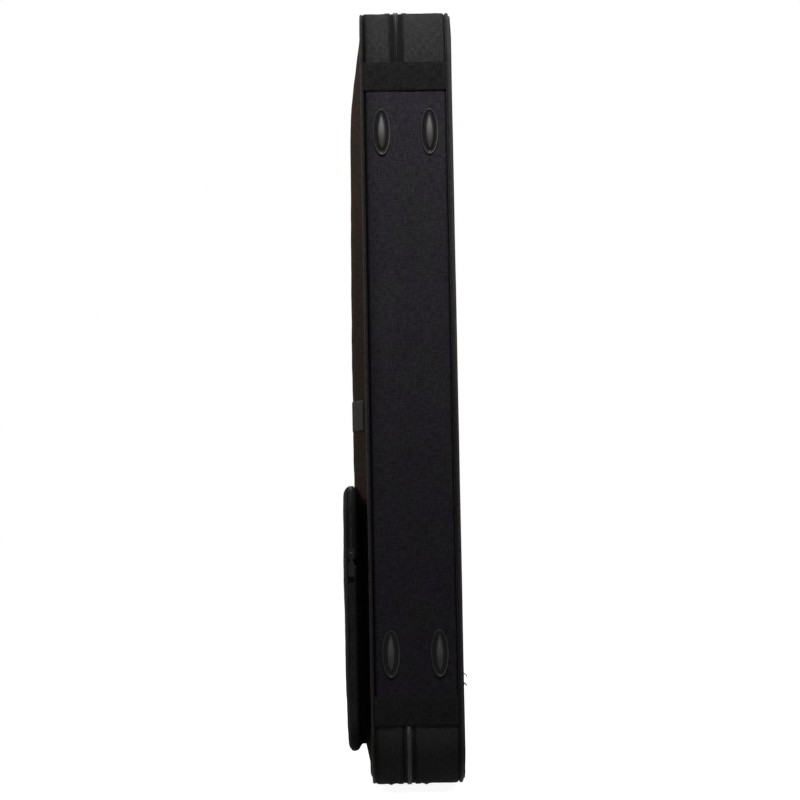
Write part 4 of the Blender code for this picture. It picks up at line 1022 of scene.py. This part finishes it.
def coil_shapes(line, half, place, first):
    """The turns of a coil, which are grains lying across the tape, and a sewn cord along their
    backs."""
    spots, along, up = line.walk(coil_pitch, 0.00105, place + half * 0.0017, 0.002, first)
    turn_of_coil = bead(0.0036, coil_pitch * 0.62, 0.0016, arch=0.0011)
    turns = repeated(turn_of_coil, spots, half * np.cross(up, along), up)
    stitch = bead(coil_pitch * 1.35, 0.0006, 0.0005)
    stitches = line.walk(coil_pitch * 1.5, 0.00165, place + half * 0.0030, 0.002)
    return turns, repeated(stitch, *stitches)


def zip_half(name, line, half, body, node, place=0.0, far=0.0087, first=0.0):
    """One side of a zip: its tape replaces the CAD node, and its coil rides with it."""
    def painted_coil_highlight(x, y, z):
        """Painted highlight: the coil's middle is painted pale, near the floor more and over its whole
        width.
        """
        low = near_floor(z, 0.15)
        return (0.42 + 0.55 * low) * (np.abs(y - place) < 0.0009 + 0.0030 * low)

    def paler_tape_near_floor(x, y, z):
        """Near the floor the tape beside the coil is lighter."""
        return 0.12 * near_floor(z, 0.15) * (np.abs(y - place) < 0.0065)

    tape = tape_shape(line, half, far, place)
    dress(name + "_tape", tape, zip_cloth, body, "zip_tape", node, worn=paler_tape_near_floor)
    turns, cord = coil_shapes(line, half, place, first)
    dress(name + "_coil", turns, coil_plastic, body, "zip_tape", weld=False, worn=painted_coil_highlight)
    dress(name + "_coil_seam", cord, thread, body, "zip_tape", weld=False)


zip_half("base_zip", zip_line, 1, "base", "base_zip_half")
zip_half("lid_zip", zip_line, -1, "lid", "lid_zip_half", first=coil_pitch / 2)

# %% [markdown]
# The feet are moulded ovals: a rim, a groove, and a sharp-ended ridge. The ridge and rim get painted
# highlights and the groove painted shade. Such a shape could be cut from a block, but rings of points
# that step inwards and up give the rounded rim and the smooth crest at once. Eight feet are the same
# rings set in eight places.

# %% Feet
def foot_shape():
    """Ring after ring from the bottom edge over rim, groove and ridge to the crest. Each ring is a
    cosine along and a sine to some power across: power 1 is an oval, more gives pointed ends.
    The columns are half length, half width, height in millimetres, and the power."""
    rings = np.array(
        (
            (36.5, 13.8, 0.0, 0.96), (36.5, 13.8, 1.3, 0.96), (36.2, 13.5, 1.9, 0.96),
            (35.7, 12.9, 2.3, 0.96), (34.9, 12.2, 2.35, 0.96), (34.2, 11.6, 2.1, 0.97),
            (33.6, 11.1, 1.3, 0.98), (32.8, 10.4, 0.7, 1.0), (29.0, 7.9, 0.7, 1.05),
            (27.8, 7.1, 1.0, 1.1), (27.2, 6.7, 2.2, 1.15), (26.2, 6.2, 3.4, 1.2),
            (24.6, 5.5, 4.5, 1.2), (22.2, 4.6, 5.4, 1.2), (19.0, 3.5, 6.1, 1.2),
            (15.0, 2.4, 6.7, 1.2), (9.0, 1.2, 7.08, 1.2), (0.8, 0.1, 7.2, 1.2),
        )
    )
    length, width, height, power = (rings[:, column : column + 1] for column in range(4))
    angle = np.arange(64) * 2 * math.pi / 64
    across = np.sign(np.sin(angle)) * np.abs(np.sin(angle)) ** power
    points = np.stack(
        (length * np.cos(angle), width * across, np.broadcast_to(height, across.shape)), 2
    )
    return np.concatenate((np.zeros_like(points[:1]), points)) / 1000


def foot(name, body, spot, axes, highlight_strength=1.0):
    """The foot's rings turned so that its length, width and height lie along the three axes."""
    axes, spot = np.array(axes, float), np.array(spot)

    def local(x, y, z):
        """Length, width and height as seen from the foot."""
        return axes @ (np.stack((x, y, z)) - spot[:, None])

    def worn(x, y, z):
        """Painted highlight: the crest is painted pale, most towards its upper end, the rim more on
        one side, and one end of each foot on the floor.
        """
        length, width, height = local(x, y, z)
        upper = eased((length + 0.018) / 0.030)
        crest = 0.12 * (height > 0.0030) + 0.62 * eased((height - 0.0050) / 0.0016) * upper
        lower = np.clip(0.3 + 0.6 * (width / 0.0138 - length / 0.0365), 0, 1)
        rim = 0.30 * (np.abs(height - 0.0022) < 0.0003) * lower
        return highlight_strength * (crest + rim) + 0.85 * (abs(axes[2, 2]) * length > 0.0120)

    def groove(x, y, z):
        """Painted shade: the groove between the crest and the rim is darkened as if in shadow."""
        length, width, height = local(x, y, z)
        inside = (length / 0.0340) ** 2 + (width / 0.0115) ** 2 < 1
        return 0.9 * inside * (1 - eased((height - 0.0010) / 0.0030))

    shape = lattice(foot_shape() @ axes + spot, around=True)
    dress(name + "_cap", shape, foot_plastic, body, "foot_plastic", name, worn=worn, seam=groove)


# The lower feet get half as much painted highlight, so that they read as lying lower in the light.
for end, height, highlight_strength in (("top", 1.0275, 1.0), ("bottom", 0.2175, 0.5)):
    for half, across in (("lid", -0.0255), ("base", 0.0495)):
        spot, axes = (0.2003, across, height), ((0, 0, 1), (0, 1, 0), (1, 0, 0))
        foot(f"side_foot_{end}_{half}", half, spot, axes, highlight_strength)
for half, across in (("lid", -0.0290), ("base", 0.0270)):
    for side_name, along in (("left", -0.058), ("right", 0.058)):
        spot, axes = (along, across, 0.0072), ((1, 0, 0), (0, 1, 0), (0, 0, -1))
        foot(f"end_foot_{side_name}_{half}", half, spot, axes)

# %% [markdown]
# A small woven patch is sewn on the lid's shoulder. It stays bare. It follows the crown, and its
# turned edge is rounded all round.

# %% Bare patch on the shoulder
def patch_shape():
    """A thin sheet that lies on the crown, with rounded rims."""
    low_x, high_x, low_z, high_z, lift = 0.1334, 0.1794, 0.562, 0.610, 0.0007
    share_x, share_z = np.meshgrid(np.linspace(-1, 1, 25), np.linspace(-1, 1, 25))
    x = low_x + (high_x - low_x) * (share_x + 1) / 2
    z = low_z + (high_z - low_z) * (share_z + 1) / 2
    rim = np.clip((1 - np.maximum(np.abs(share_x), np.abs(share_z))) * 10, 0, 1) ** 0.5
    base = -lid_face_edge - lid_crown(x, z)
    outer = np.stack((x, base - lift - 0.0011 * (0.35 + 0.65 * rim), z), 2)
    inner = np.stack((x, base - lift * 0.6, z), 2)
    return two_layers(outer, inner)


dress("shoulder_patch", patch_shape(), label_cloth, "lid", "label_weave", "label_patch")

# %% [markdown]
# The pocket is a bag sewn to the lower half of the lid. Its front is one slightly domed sheet. The
# upper part folds down when its zip is open, along a line where the zip ends; here the sheet is one
# piece without a body of its own.

# %% Pocket front
pocket_box = dict(width=0.364, height=0.412, radius=0.050, middle=0.270)
pocket_split, pocket_face = 0.361, -0.0948
pocket_line = RoundedLine(**pocket_box, spacing=0.006, corner=14)


def pocket_edge(x, z):
    """How far a point lies inside the pocket's outline."""
    height = np.abs(z - pocket_box["middle"])
    half, tall = pocket_box["width"] / 2, pocket_box["height"] / 2
    row = row_reach(height, half, tall, pocket_box["radius"])
    return np.minimum(row - np.abs(x), tall - height)


def pocket_outside(x, z):
    """Domed by 2.5 mm over 45 mm, turned back by 5 mm at the rim, with waves in the cloth. The
    lowest part hangs 2 mm slacker."""
    edge = pocket_edge(x, z)
    waves = 0.0007 * ripple(x, z, 0.11, 51) + 0.0003 * ripple(x, z, 0.03, 52)
    turned = 0.0050 * np.clip(1 - edge / 0.012, 0, 1) ** 2
    slack = 0.0020 * eased((0.20 - z) / 0.12)
    dome = 0.0025 * quarter_wave(edge / 0.045)
    return pocket_face - dome + turned + slack - waves * off_seam(edge, 0.002)


pocket_cloth = make_piece(
    "pocket_cloth", face_sheet(pocket_line, 0.0, pocket_outside, cloth_wall, rings=26), pocket_nylon
)
# The front is darker within 5 mm of its outline, where it meets its walls.
mark(pocket_cloth, "seam", lambda x, y, z: 0.7 * (1 - eased(pocket_edge(x, z) / 0.005)))
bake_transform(pocket_cloth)
attach(pocket_cloth, None, "nylon", "pocket_front", "pocket_flap")


# %% Pocket walls
def half_line(upper):
    """The part of the pocket's outline above or below the split, with its two ends on the split."""
    line = RoundedLine(**pocket_box, spacing=0.006, corner=14)
    x, z = line.at(0.0)
    keep = z > pocket_split + 0.001 if upper else z < pocket_split - 0.001
    order = np.argsort((np.arange(len(x)) + (0 if upper else -len(x) // 2)) % len(x))
    order = order[keep[order]]
    side, height = (1.0 if upper else -1.0), (pocket_split - line.middle) / line.rise
    for name, first, last in (
        ("share_x", side, -side),
        ("share_z", height, height),
        ("turn_x", side, -side),
        ("turn_z", 0, 0),
    ):
        setattr(line, name, np.concatenate(((first,), getattr(line, name)[order], (last,))))
    line.measure()
    return line


def wall_shape(line, far, seed):
    """Cloth from the lid's face out to far. Its half next to the lid is folded inwards, deep at
    the sides and shallow at top and bottom, and the rest bulges by a half wave and ripples. At the
    split both walls have the same section, so no gap shows between them. The two cut ends close
    onto the line midway between the outer and the inner face."""
    below = (pocket_split - line.at(0.0)[1])[:, None]
    fold_start, fold_end = 0.0715, 0.0775 + 0.0025 * np.clip(below / 0.030, 0, 1)
    free = eased(np.abs(below) / 0.012)
    near = (lid_face_edge + lid_crown(*line.at(0.0)) + 0.0006)[:, None]
    near = np.minimum(near, fold_start - 0.002)
    across = near + (far - near) * np.linspace(0, 1, 27)
    opened = eased((across - fold_start) / (fold_end - fold_start))
    fold = (1 - opened) * (0.010 + 0.018 * line.turn_x[:, None] ** 2)
    swell = 0.0012 * np.sin(math.pi * np.clip((across - fold_end) / (far - fold_end), 0, 1))
    waves = 0.0007 * ripple(line.length[:, None], across, 0.04, seed) * opened
    outward = (swell + waves) * free - fold
    outer = line.carry(outward, -across)
    inner = line.carry(outward - 0.0013, -across)[:, ::-1]
    rows = np.concatenate((outer, inner), 1)
    first, last = (rows[:1] + rows[:1, ::-1]) / 2, (rows[-1:] + rows[-1:, ::-1]) / 2
    return lattice(np.concatenate((first, rows, last)), around=True)


def painted_fold_shade(x, y, z):
    """Painted shade: the folded half of the wall is darkened as if it lay in shadow."""
    return 1 - eased((np.abs(y) - 0.0745) / 0.0060)


pocket_zip_place = -0.0845
lower_line, upper_line = half_line(upper=False), half_line(upper=True)
lower_wall, upper_wall = wall_shape(lower_line, 0.0893, 53), wall_shape(upper_line, 0.0780, 54)
dress("pocket_lower_wall", lower_wall, pocket_nylon, "lid", "nylon", "pocket_gusset", seam=painted_fold_shade)
dress("pocket_upper_wall", upper_wall, pocket_nylon, "lid", "nylon", seam=painted_fold_shade)
zip_half(
    "pocket_back_zip", upper_line, 1, "lid", "pocket_zip_back", pocket_zip_place, 0.0075
)
zip_half(
    "pocket_flap_zip", upper_line, -1, "pocket_top", "pocket_flap_side", pocket_zip_place, 0.0052,
    coil_pitch / 2,
)

# %% [markdown]
# A shoulder strap is a long pad of foam in cloth, drawn in at its waist, with webbing below it. The
# pad is blown up by a short cloth simulation with its rim held, which gives the soft, slightly uneven
# swell of a sewn pad. The movement is capped, so it keeps to its place on the back.

# %% Shoulder pads
pad_bottom, pad_length, strap_plane, strap_place = 0.4204, 0.352, 0.0812, 0.060


def waist(share):
    """Half the pad's width at a share of its length: 32 mm, drawn in by 7 mm as a sine squared."""
    return 0.032 - 0.007 * np.sin(math.pi * share) ** 2


def pad_shape(side):
    """Two layers of a drawn-in strip, joined at the rim: a low dome in front of a flat back."""
    share, across = np.meshgrid(np.linspace(0, 1, 89), np.linspace(-1, 1, 19), indexing="ij")
    cut_off = np.clip((np.abs(share - 0.5) - 0.47) / 0.03, 0, 1) ** 2 * 0.35
    x = across * (waist(share) * np.sqrt(np.clip(1 - cut_off, 0, 1)) - 0.0006) + side * strap_place
    z = pad_bottom + 0.0006 + (pad_length - 0.0012) * share
    dome = quarter_wave(3 * (1 - np.abs(across))) * quarter_wave(9 * share)
    dome = dome * quarter_wave(9 * (1 - share))
    front = np.stack((x, strap_plane + 0.0022 + 0.0022 * dome, z), 2)
    return two_layers(front, np.stack((x, np.full(x.shape, strap_plane + 0.0002), z), 2))


def blown_up(piece, held, cap, low_y, high_y):
    """Runs the cloth with pressure inside and the held points fixed, then keeps the capped result."""
    scene, last_step = bpy.context.scene, 20
    mesh = piece.data
    start = points_of(mesh)
    group = piece.vertex_groups.new(name="held")
    group.add(np.nonzero(held(start))[0].tolist(), 1.0, "REPLACE")
    swell = piece.modifiers.new("swell", "CLOTH")
    swell.settings.use_pressure = True
    swell.settings.uniform_pressure_force = 4.0
    swell.settings.effector_weights.gravity = 0.0
    swell.settings.vertex_group_mass = "held"
    swell.point_cache.frame_end = last_step
    for step in range(1, last_step + 1):
        scene.frame_set(step)
    shown = piece.evaluated_get(bpy.context.evaluated_depsgraph_get()).data
    moved = points_of(shown) - start
    length = np.maximum(np.linalg.norm(moved, axis=1, keepdims=True), 1e-9)
    ended = start + moved * np.minimum(length, cap) / length
    ended[:, 1] = np.clip(ended[:, 1], low_y, high_y)
    piece.modifiers.remove(swell)
    piece.vertex_groups.clear()
    mesh.vertices.foreach_set("co", ended.ravel())
    mesh.update()
    scene.frame_set(1)
    print(f"{piece.name}: swelled by up to {float(np.abs(moved[:, 1]).max()) * 1000:.1f} mm")


def shoulder_pad(name, side):
    """One pad at its side of the back, blown up and given one subdivision."""
    piece = make_piece(name, pad_shape(side), nylon)
    plane = float(case_shift[1]) + strap_plane
    blown_up(piece, lambda at: at[:, 1] < plane + 0.0018, 0.006, plane, plane + 0.0062)

    def sewn_seam_and_shade(x, y, z):
        """The rim, with painted shade where the pad meets the back, and a dark seam sewn 5 mm inside
        it.
        """
        inside = waist((z - pad_bottom) / pad_length) - np.abs(x - side * strap_place)
        rim = 1 - eased((y - strap_plane) / 0.0040)
        return np.maximum(0.9 * rim, 0.7 * bell(inside - 0.005, 0.0013))

    mark(piece, "seam", sewn_seam_and_shade)
    smooth = piece.modifiers.new("smooth", "SUBSURF")
    smooth.levels = smooth.render_levels = 1
    return piece


both_sides = (("left", -1), ("right", 1))
for side_name, side in both_sides:
    pad = shoulder_pad(f"shoulder_pad_{side_name}", side)
    attach(pad, f"strap_{side_name}", "nylon", f"strap_pad_{side_name}")

# %% [markdown]
# Below each pad, webbing runs through a ladder lock and folds round the eye of a hook. The hook's
# ring hangs in a sleeve of webbing sewn to the back.

# %% Strap webbing
strap_top, splay = 0.4201, 0.036 / 0.190


def strap_tail(side):
    """The strip from the pad to the hook, splayed outwards, with its end folded up over itself."""
    def down_the_strap(z, rise):
        """Points of the splayed line at these heights, this far off the back."""
        x = side * (strap_place + splay * (strap_top - z))
        return np.stack((x, np.full(len(z), strap_plane + rise), z), 1)

    down = down_the_strap(0.4198 - 0.1894 * np.linspace(0, 1, 50), 0.0009)
    turned = np.linspace(0, math.pi, 9)[1:]
    eye = down[-1] + np.stack(
        (np.zeros(8), 0.0011 * (1 - np.cos(turned)), -0.0004 * np.sin(turned)), 1
    )
    centre = np.concatenate((down, eye, down_the_strap(np.linspace(0.2308, 0.2598, 12), 0.0031)))
    along = np.gradient(centre, axis=0)
    along /= np.linalg.norm(along, axis=1)[:, None]
    across = constant((1.0, 0.0, side * splay), len(centre))
    across /= np.linalg.norm(across, axis=1)[:, None]
    return webbing_shape(centre, across, np.cross(along, across), 0.025, 0.0017)


for side_name, side in both_sides:
    dress(
        f"strap_tail_{side_name}", strap_tail(side), webbing,
        f"strap_{side_name}", "webbing", f"strap_webbing_{side_name}",
    )


# %% Top anchor of the straps
def soft_box(low, high, puff, steps):
    """A flat bag: two layers that meet at a thin rim and swell towards the middle on the +Y side."""
    share_x, share_z = np.meshgrid(*(np.linspace(-1, 1, count) for count in steps), indexing="ij")
    x = low[0] + (high[0] - low[0]) * (share_x + 1) / 2
    z = low[2] + (high[2] - low[2]) * (share_z + 1) / 2
    edge = np.minimum(x - low[0], high[0] - x)
    edge = np.minimum(edge, np.minimum(z - low[2], high[2] - z))
    wall = high[1] - low[1]
    front = np.stack((x, low[1] + wall * (1 - puff + puff * quarter_wave(edge / 0.009)), z), 2)
    return two_layers(front, np.stack((x, np.full(x.shape, low[1]), z), 2))


yoke = soft_box((-0.098, strap_plane, 0.7731), (0.098, 0.0897, 0.8169), 0.45, (60, 22))
dress("strap_yoke", yoke, webbing, "base", "webbing", "strap_anchor_top")

# %% [markdown]
# A few yarns are frayed out low on the back's piping. They are short bent wires that droop, and the
# rings and the handle are round wires of the same kind.

# %% Loose threads
def pipe_shape(points, plane_normal, radius, around=12, closed=False):
    """A round wire: a circle carried along points that lie in one plane."""
    if closed:
        along = np.roll(points, -1, 0) - np.roll(points, 1, 0)
    else:
        along = np.gradient(points, axis=0)
    along = along / np.linalg.norm(along, axis=1)[:, None]
    normal = constant(plane_normal, len(points))
    sideways = np.cross(along, normal)
    angle = (np.arange(around) * 2 * math.pi / around)[None, :, None]
    circle = np.cos(angle) * normal[:, None] + np.sin(angle) * sideways[:, None]
    rows = points[:, None] + radius * circle
    return lattice(rows, around=True, along=True) if closed else capped(rows)


def loose_threads():
    """Each yarn leaves the piping at its own height and bends down, by lengths drawn by chance."""
    draw = np.random.default_rng(61)
    strands = []
    for root in (0.1870, 0.1862, 0.1855, 0.1722, 0.1714, 0.1705, 0.1698):
        out, drop, side = draw.uniform((0.0050, 0.003, -0.001), (0.0082, 0.008, 0.001))
        start = np.array((0.1990, 0.0835, root))
        path = bent(start, start + (side / 2, out * 0.8, 0.0), start + (side, out, -drop), 6)
        strands.append(pipe_shape(path, (1, 0, 0), 0.00038, around=6))
    return together(*strands)


dress("loose_threads", loose_threads(), nylon, "base", "nylon")

# %% Lower anchors
anchor_place = 0.096
ring_line = RoundedLine(
    width=0.026, height=0.020, radius=0.005, middle=0.2091, spacing=0.002, corner=8
)


def anchor_bag(side, reach, low_z, high_z, top, puff, steps):
    """A flat bag of webbing round the anchor's middle line, reaching this far to both sides."""
    middle = side * anchor_place
    low, high = (middle - reach, strap_plane, low_z), (middle + reach, top, high_z)
    return soft_box(low, high, puff, steps)


for side_name, side in both_sides:
    ring_x, ring_z = ring_line.at(0.0)
    ring = np.stack((ring_x + side * anchor_place, np.full(len(ring_x), 0.0832), ring_z), 1)
    ring_shape = pipe_shape(ring, (0, 1, 0), 0.0019, closed=True)
    dress(f"strap_ring_{side_name}", ring_shape, black_metal, "base", "black_metal")
    tab = anchor_bag(side, 0.022, 0.1453, 0.1970, 0.0834, 0.3, (24, 30))
    sleeve = anchor_bag(side, 0.0078, 0.1925, 0.2020, 0.0871, 0.5, (16, 12))
    dress(
        f"strap_tab_{side_name}", together(tab, sleeve), webbing, "base", "webbing",
        f"lower_anchor_{side_name}",
    )

# %% [markdown]
# The carry handle is a bent steel bail in two barrels, with a rubber grip on it. The grip is a
# turned shape whose radius dips at finger ribs.

# %% Handle
barrel_x, grip_x, handle_y, handle_middle = -0.2107, -0.2447, 0.043, 0.6


def bail_line():
    """Straight into the barrels, then two round bends out to the grip's line and back."""
    corners = np.array(((barrel_x, 0.725), (barrel_x, 0.691), (grip_x, 0.681)))
    corners = np.concatenate((corners, corners[::-1] * (1, -1) + (0, 2 * handle_middle)))
    points = [corners[:1]]
    for before, here, after in zip(corners[:-2], corners[1:-1], corners[2:]):
        back, on = np.linalg.norm(before - here), np.linalg.norm(after - here)
        reach = 0.45 * min(back, on, 0.03)
        start, stop = here + (before - here) / back * reach, here + (after - here) / on * reach
        points.append(bent(start, here, stop, 9))
    points.append(corners[-1:])
    flat = np.concatenate(points)
    return np.stack((flat[:, 0], np.full(len(flat), handle_y), flat[:, 1]), 1)


def grip_shape():
    """A turned body: full radius, rounded ends, and eleven shallow finger grooves."""
    z = np.linspace(-0.052, 0.052, 160)
    groove = 0.0007 * (0.5 + 0.5 * np.cos(2 * math.pi * z / 0.0085)) ** 2 * (np.abs(z) < 0.044)
    rounded = np.sqrt(np.clip(1 - np.clip((np.abs(z) - 0.047) / 0.005, 0, 1) ** 2, 0, 1))
    radius = ((0.0065 + 0.0050 * rounded) - groove)[:, None]
    angle = np.arange(32) * 2 * math.pi / 32
    x, y = grip_x + radius * np.cos(angle), handle_y + radius * np.sin(angle)
    return capped(np.stack((x, y, np.broadcast_to(handle_middle + z[:, None], x.shape)), 2))


bail = pipe_shape(bail_line(), (0, 1, 0), 0.0040, around=16)
dress("handle_wire", bail, black_metal, "handle", "black_metal", "handle_bail")
dress("handle_grip_rubber", grip_shape(), grip_rubber, "handle", "grip_rubber", "handle_grip")

# %% [markdown]
# Inside, each half is a tray of foam board lined with plush. Both are the same shape at different
# depths: a wall that turns into a floor through a round corner. The section is carried round the
# case, and the floor shrinks to the middle line as the faces do. Only the lid's trays are crowned.

# %% Foam and lining trays
def tray_shape(half, inset, wall, rim, floor, crown):
    """Inner floor, inner wall, rim, outer wall and outer floor, as rings of one closed shape. A
    ring is how far it lies inside the outline, its shrinking, its height and whether it is
    crowned."""
    corner, inner = 0.010, inset + wall
    shares = np.linspace(1, 0, 14)
    rings = [(inner + corner, share, floor - wall, True) for share in shares]
    for angle in np.linspace(0, math.pi / 2, 6)[1:]:
        depth, drop = corner * (1 - math.sin(angle)), corner * (1 - math.cos(angle))
        rings.append((inner + depth, 0.0, floor - wall - drop, True))
    for depth, set_back in ((wall, 0.001), (wall - 0.001, 0.0), (0.001, 0.0), (0.0, 0.001)):
        rings.append((inset + depth, 0.0, rim + set_back, False))
    rings += [(inset, 0.0, floor - 0.004, False), (inset + 0.004, 0.0, floor, True)]
    rings += [(inset + 0.010, share, floor, True) for share in shares[::-1]]
    rows = []
    for depth, shrink, height, crowned in rings:
        x, z = full_line.at(-depth, shrink)
        lift = crown(x, z) if crown and crowned else np.zeros_like(x)
        rows.append(np.stack((x, half * (height + lift), z), 1))
    return facing(np.stack(rows), around=True)


foam_tray, plush_tray = (0.0018, 0.0160, 0.0062), (0.0181, 0.0030, 0.0060)
for name, half, sizes, floor, crown, material, body, slot, node in (
    ("base_foam", 1, foam_tray, 0.0787, None, foam_board, "base", "foam_board", "base_shell"),
    ("lid_foam", -1, foam_tray, 0.0547, lid_crown, foam_board, "lid", "foam_board", "lid_shell"),
    ("base_plush", 1, plush_tray, 0.0625, None, plush, "base", "plush", "base_lining"),
    ("lid_plush", -1, plush_tray, 0.0384, lid_crown, plush, "lid", "plush", "lid_lining"),
):
    dress(name, tray_shape(half, *sizes, floor, crown), material, body, slot, node)

# %% [markdown]
# Plush-covered foam blocks hold the guitar: a cradle with a channel for the neck, a surround for the
# body, and a box for small things. Each is soft at its edges, so they are rounded by a bevel.

# %% Fittings inside the base
def soften(piece, width):
    """Rounds the edges of a block by a bevel that stays live."""
    rounding = piece.modifiers.new("rounding", "BEVEL")
    rounding.width, rounding.segments, rounding.limit_method = width, 3, "ANGLE"
    return piece


def cradle_shape():
    """A block 112 wide and 36 high with a rounded channel 58 wide and 20 deep for the neck, carried
    up in Z."""
    angle = np.linspace(0, math.pi / 2, 7)
    turned = np.stack((-0.029 + 0.006 * (1 - np.cos(angle)), 0.0372 + 0.006 * np.sin(angle)), 1)
    outer = np.array(((-0.056, 0.0592), (-0.056, 0.0262), (-0.053, 0.0232)))
    edge = np.array(((-0.031, 0.0232), (-0.029, 0.0252)))
    left = np.concatenate((outer, edge, turned))
    section = np.concatenate((left, left[::-1] * (-1, 1)))
    rows = np.zeros((14, len(section), 3))
    rows[:, :, :2], rows[:, :, 2] = section, np.linspace(0.900, 0.960, 14)[:, None]
    return capped(rows)


def neck_strap_shape():
    """A strip of webbing across the channel, a little slack in its middle."""
    x = np.linspace(-0.0390, 0.0390, 40)
    sag = 0.0006 * np.cos(x / 0.039 * math.pi / 2)
    centre = np.stack((x, 0.02165 + sag * 0.3, np.full(40, 0.930)), 1)
    return webbing_shape(centre, constant((0, 0, 1), 40), constant((0, -1, 0), 40), 0.038, 0.0024)


cradle = make_piece("neck_rest", cradle_shape(), plush, smooth=False)
attach(soften(cradle, 0.002), "base", "plush", "neck_cradle")
dress("neck_tie_strip", neck_strap_shape(), webbing, "neck_tie", "webbing", "neck_strap")

# %% [markdown]
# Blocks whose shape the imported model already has, such as the surround and the small box, are copied
# from it, merged, rounded and covered in plush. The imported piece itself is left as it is.

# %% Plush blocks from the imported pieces
for name, node, body, width in (
    ("body_rest", "body_surround", "base", 0.004),
    ("small_box", "accessory_box", "base", 0.0012),
    ("small_box_lid", "accessory_lid", "accessory_cover", 0.001),
):
    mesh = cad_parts[node].data.copy()
    mesh.name = name
    clean(mesh, flat_angle=0.02)
    mesh.materials.clear()
    mesh.materials.append(plush)
    attach(soften(add_object(name, mesh), width), body, "plush", node)

# %% [markdown]
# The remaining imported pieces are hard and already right: sliders, pulls, anchors, buckles and hooks.
# They keep their shape and get a finish.

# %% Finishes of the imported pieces
packed_finishes = {
    black_metal: (
        "zip_slider_left", "zip_slider_right", "zip_pull_left", "zip_pull_right", "pocket_slider",
        "pocket_pull", "handle_anchor_upper", "handle_anchor_lower", "strap_hook_left",
        "strap_hook_right",
    ),
    lock_plastic: ("ladder_lock_left", "ladder_lock_right"),
}
for material, nodes in packed_finishes.items():
    for node in nodes:
        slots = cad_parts[node].data.materials
        slots.clear()
        slots.append(material)
    print(material.name, "on", len(nodes), "packed pieces")

# %% [markdown]
# The picture has a white ground and soft light from above. The floor and the sky show white to the
# camera and to reflections only, so the case isn't lit by them. Under the case the floor keeps a
# faint shadow, and its dark paint throws little light back up.

# %% Floor
def shows_white(tree):
    """1 for the rays that should see white: camera, glossy and transmission rays."""
    path = add_node(tree, "ShaderNodeLightPath")
    seen = calc(tree, "MAXIMUM", path.outputs["Is Camera Ray"], path.outputs["Is Glossy Ray"])
    return calc(tree, "MAXIMUM", seen, path.outputs["Is Transmission Ray"])


def floor_material():
    """Near the case the floor's glow is a little below white, and the lit paint on top brings it
    there except in the shadow. Away from the case the glow alone is white."""
    material = bpy.data.materials.new("pale floor")
    material.use_nodes = True
    tree = material.node_tree
    paint = tree.nodes["Principled BSDF"]
    paint.inputs["Base Color"].default_value = (0.22, 0.22, 0.22, 1.0)
    paint.inputs["Roughness"].default_value = 0.9
    paint.inputs["Specular IOR Level"].default_value = 0.0
    spot = add_node(tree, "ShaderNodeTexCoord").outputs["Object"]
    reach = add_node(tree, "ShaderNodeVectorMath", {"operation": "LENGTH"}, i0=spot)
    far = add_node(
        tree, "ShaderNodeMapRange", {"interpolation_type": "SMOOTHSTEP"},
        Value=reach.outputs["Value"], From_Min=0.5, From_Max=1.6, To_Min=0.94, To_Max=1.0,
    )
    strength = calc(tree, "MULTIPLY", shows_white(tree), far.outputs[0])
    glow = add_node(tree, "ShaderNodeEmission", Strength=strength)
    both = add_node(tree, "ShaderNodeAddShader", i0=paint.outputs[0], i1=glow.outputs[0])
    tree.links.new(both.outputs[0], tree.nodes["Material Output"].inputs["Surface"])
    return material


floor_mesh = bpy.data.meshes.new("floor")
floor_signs = ((-1, -1), (1, -1), (1, 1), (-1, 1))
floor_mesh.from_pydata([(40.0 * x, 40.0 * y, 0.0) for x, y in floor_signs], [], [(0, 1, 2, 3)])
floor_mesh.materials.append(floor_material())
add_object("floor", floor_mesh)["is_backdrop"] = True


# %% Sky and lamps
def make_sky(ambient):
    """White to the camera and in reflections, and a weak even light for everything else."""
    world = bpy.data.worlds.new("studio")
    bpy.context.scene.world = world
    world.use_nodes = True
    tree = world.node_tree
    background = tree.nodes["Background"]
    strength = calc(tree, "MULTIPLY_ADD", shows_white(tree), 1.0 - ambient, ambient)
    tree.links.new(strength, background.inputs["Strength"])
    background.inputs["Color"].default_value = (1.0, 1.0, 1.0, 1.0)


def softbox(name, place, target, size, power):
    """A square area lamp that faces its target."""
    data = bpy.data.lights.new(name, "AREA")
    data.energy, data.size = power, size
    lamp = add_object(name, data)
    lamp.location = place
    aim = Vector(target) - Vector(place)
    lamp.rotation_euler = aim.to_track_quat("-Z", "Y").to_euler()


make_sky(0.04)
softbox("overhead", (1.15, 0.05, 1.95), (0.2, 0.0, 1.0), 0.35, 26.0)
for name, place, power in (
    ("lid_side", (-0.7, -2.4, 1.9), 65.0),
    ("back_side", (-0.7, 2.4, 1.9), 65.0),
    ("handle_side", (-2.6, 0.3, 1.9), 50.0),
):
    softbox(name, place, (0.0, 0.0, 0.7), 1.2, power)
bpy.context.scene.view_settings.view_transform = "Standard"
print("lamps:", [lamp.name for lamp in bpy.data.lights])

# %% Finish
visual_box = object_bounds()
sizes = {
    "cad_box": [list(corner) for corner in cad_box],
    "visual_box": [list(corner) for corner in visual_box],
}
print("visual box:", [[round(v, 4) for v in corner] for corner in visual_box])
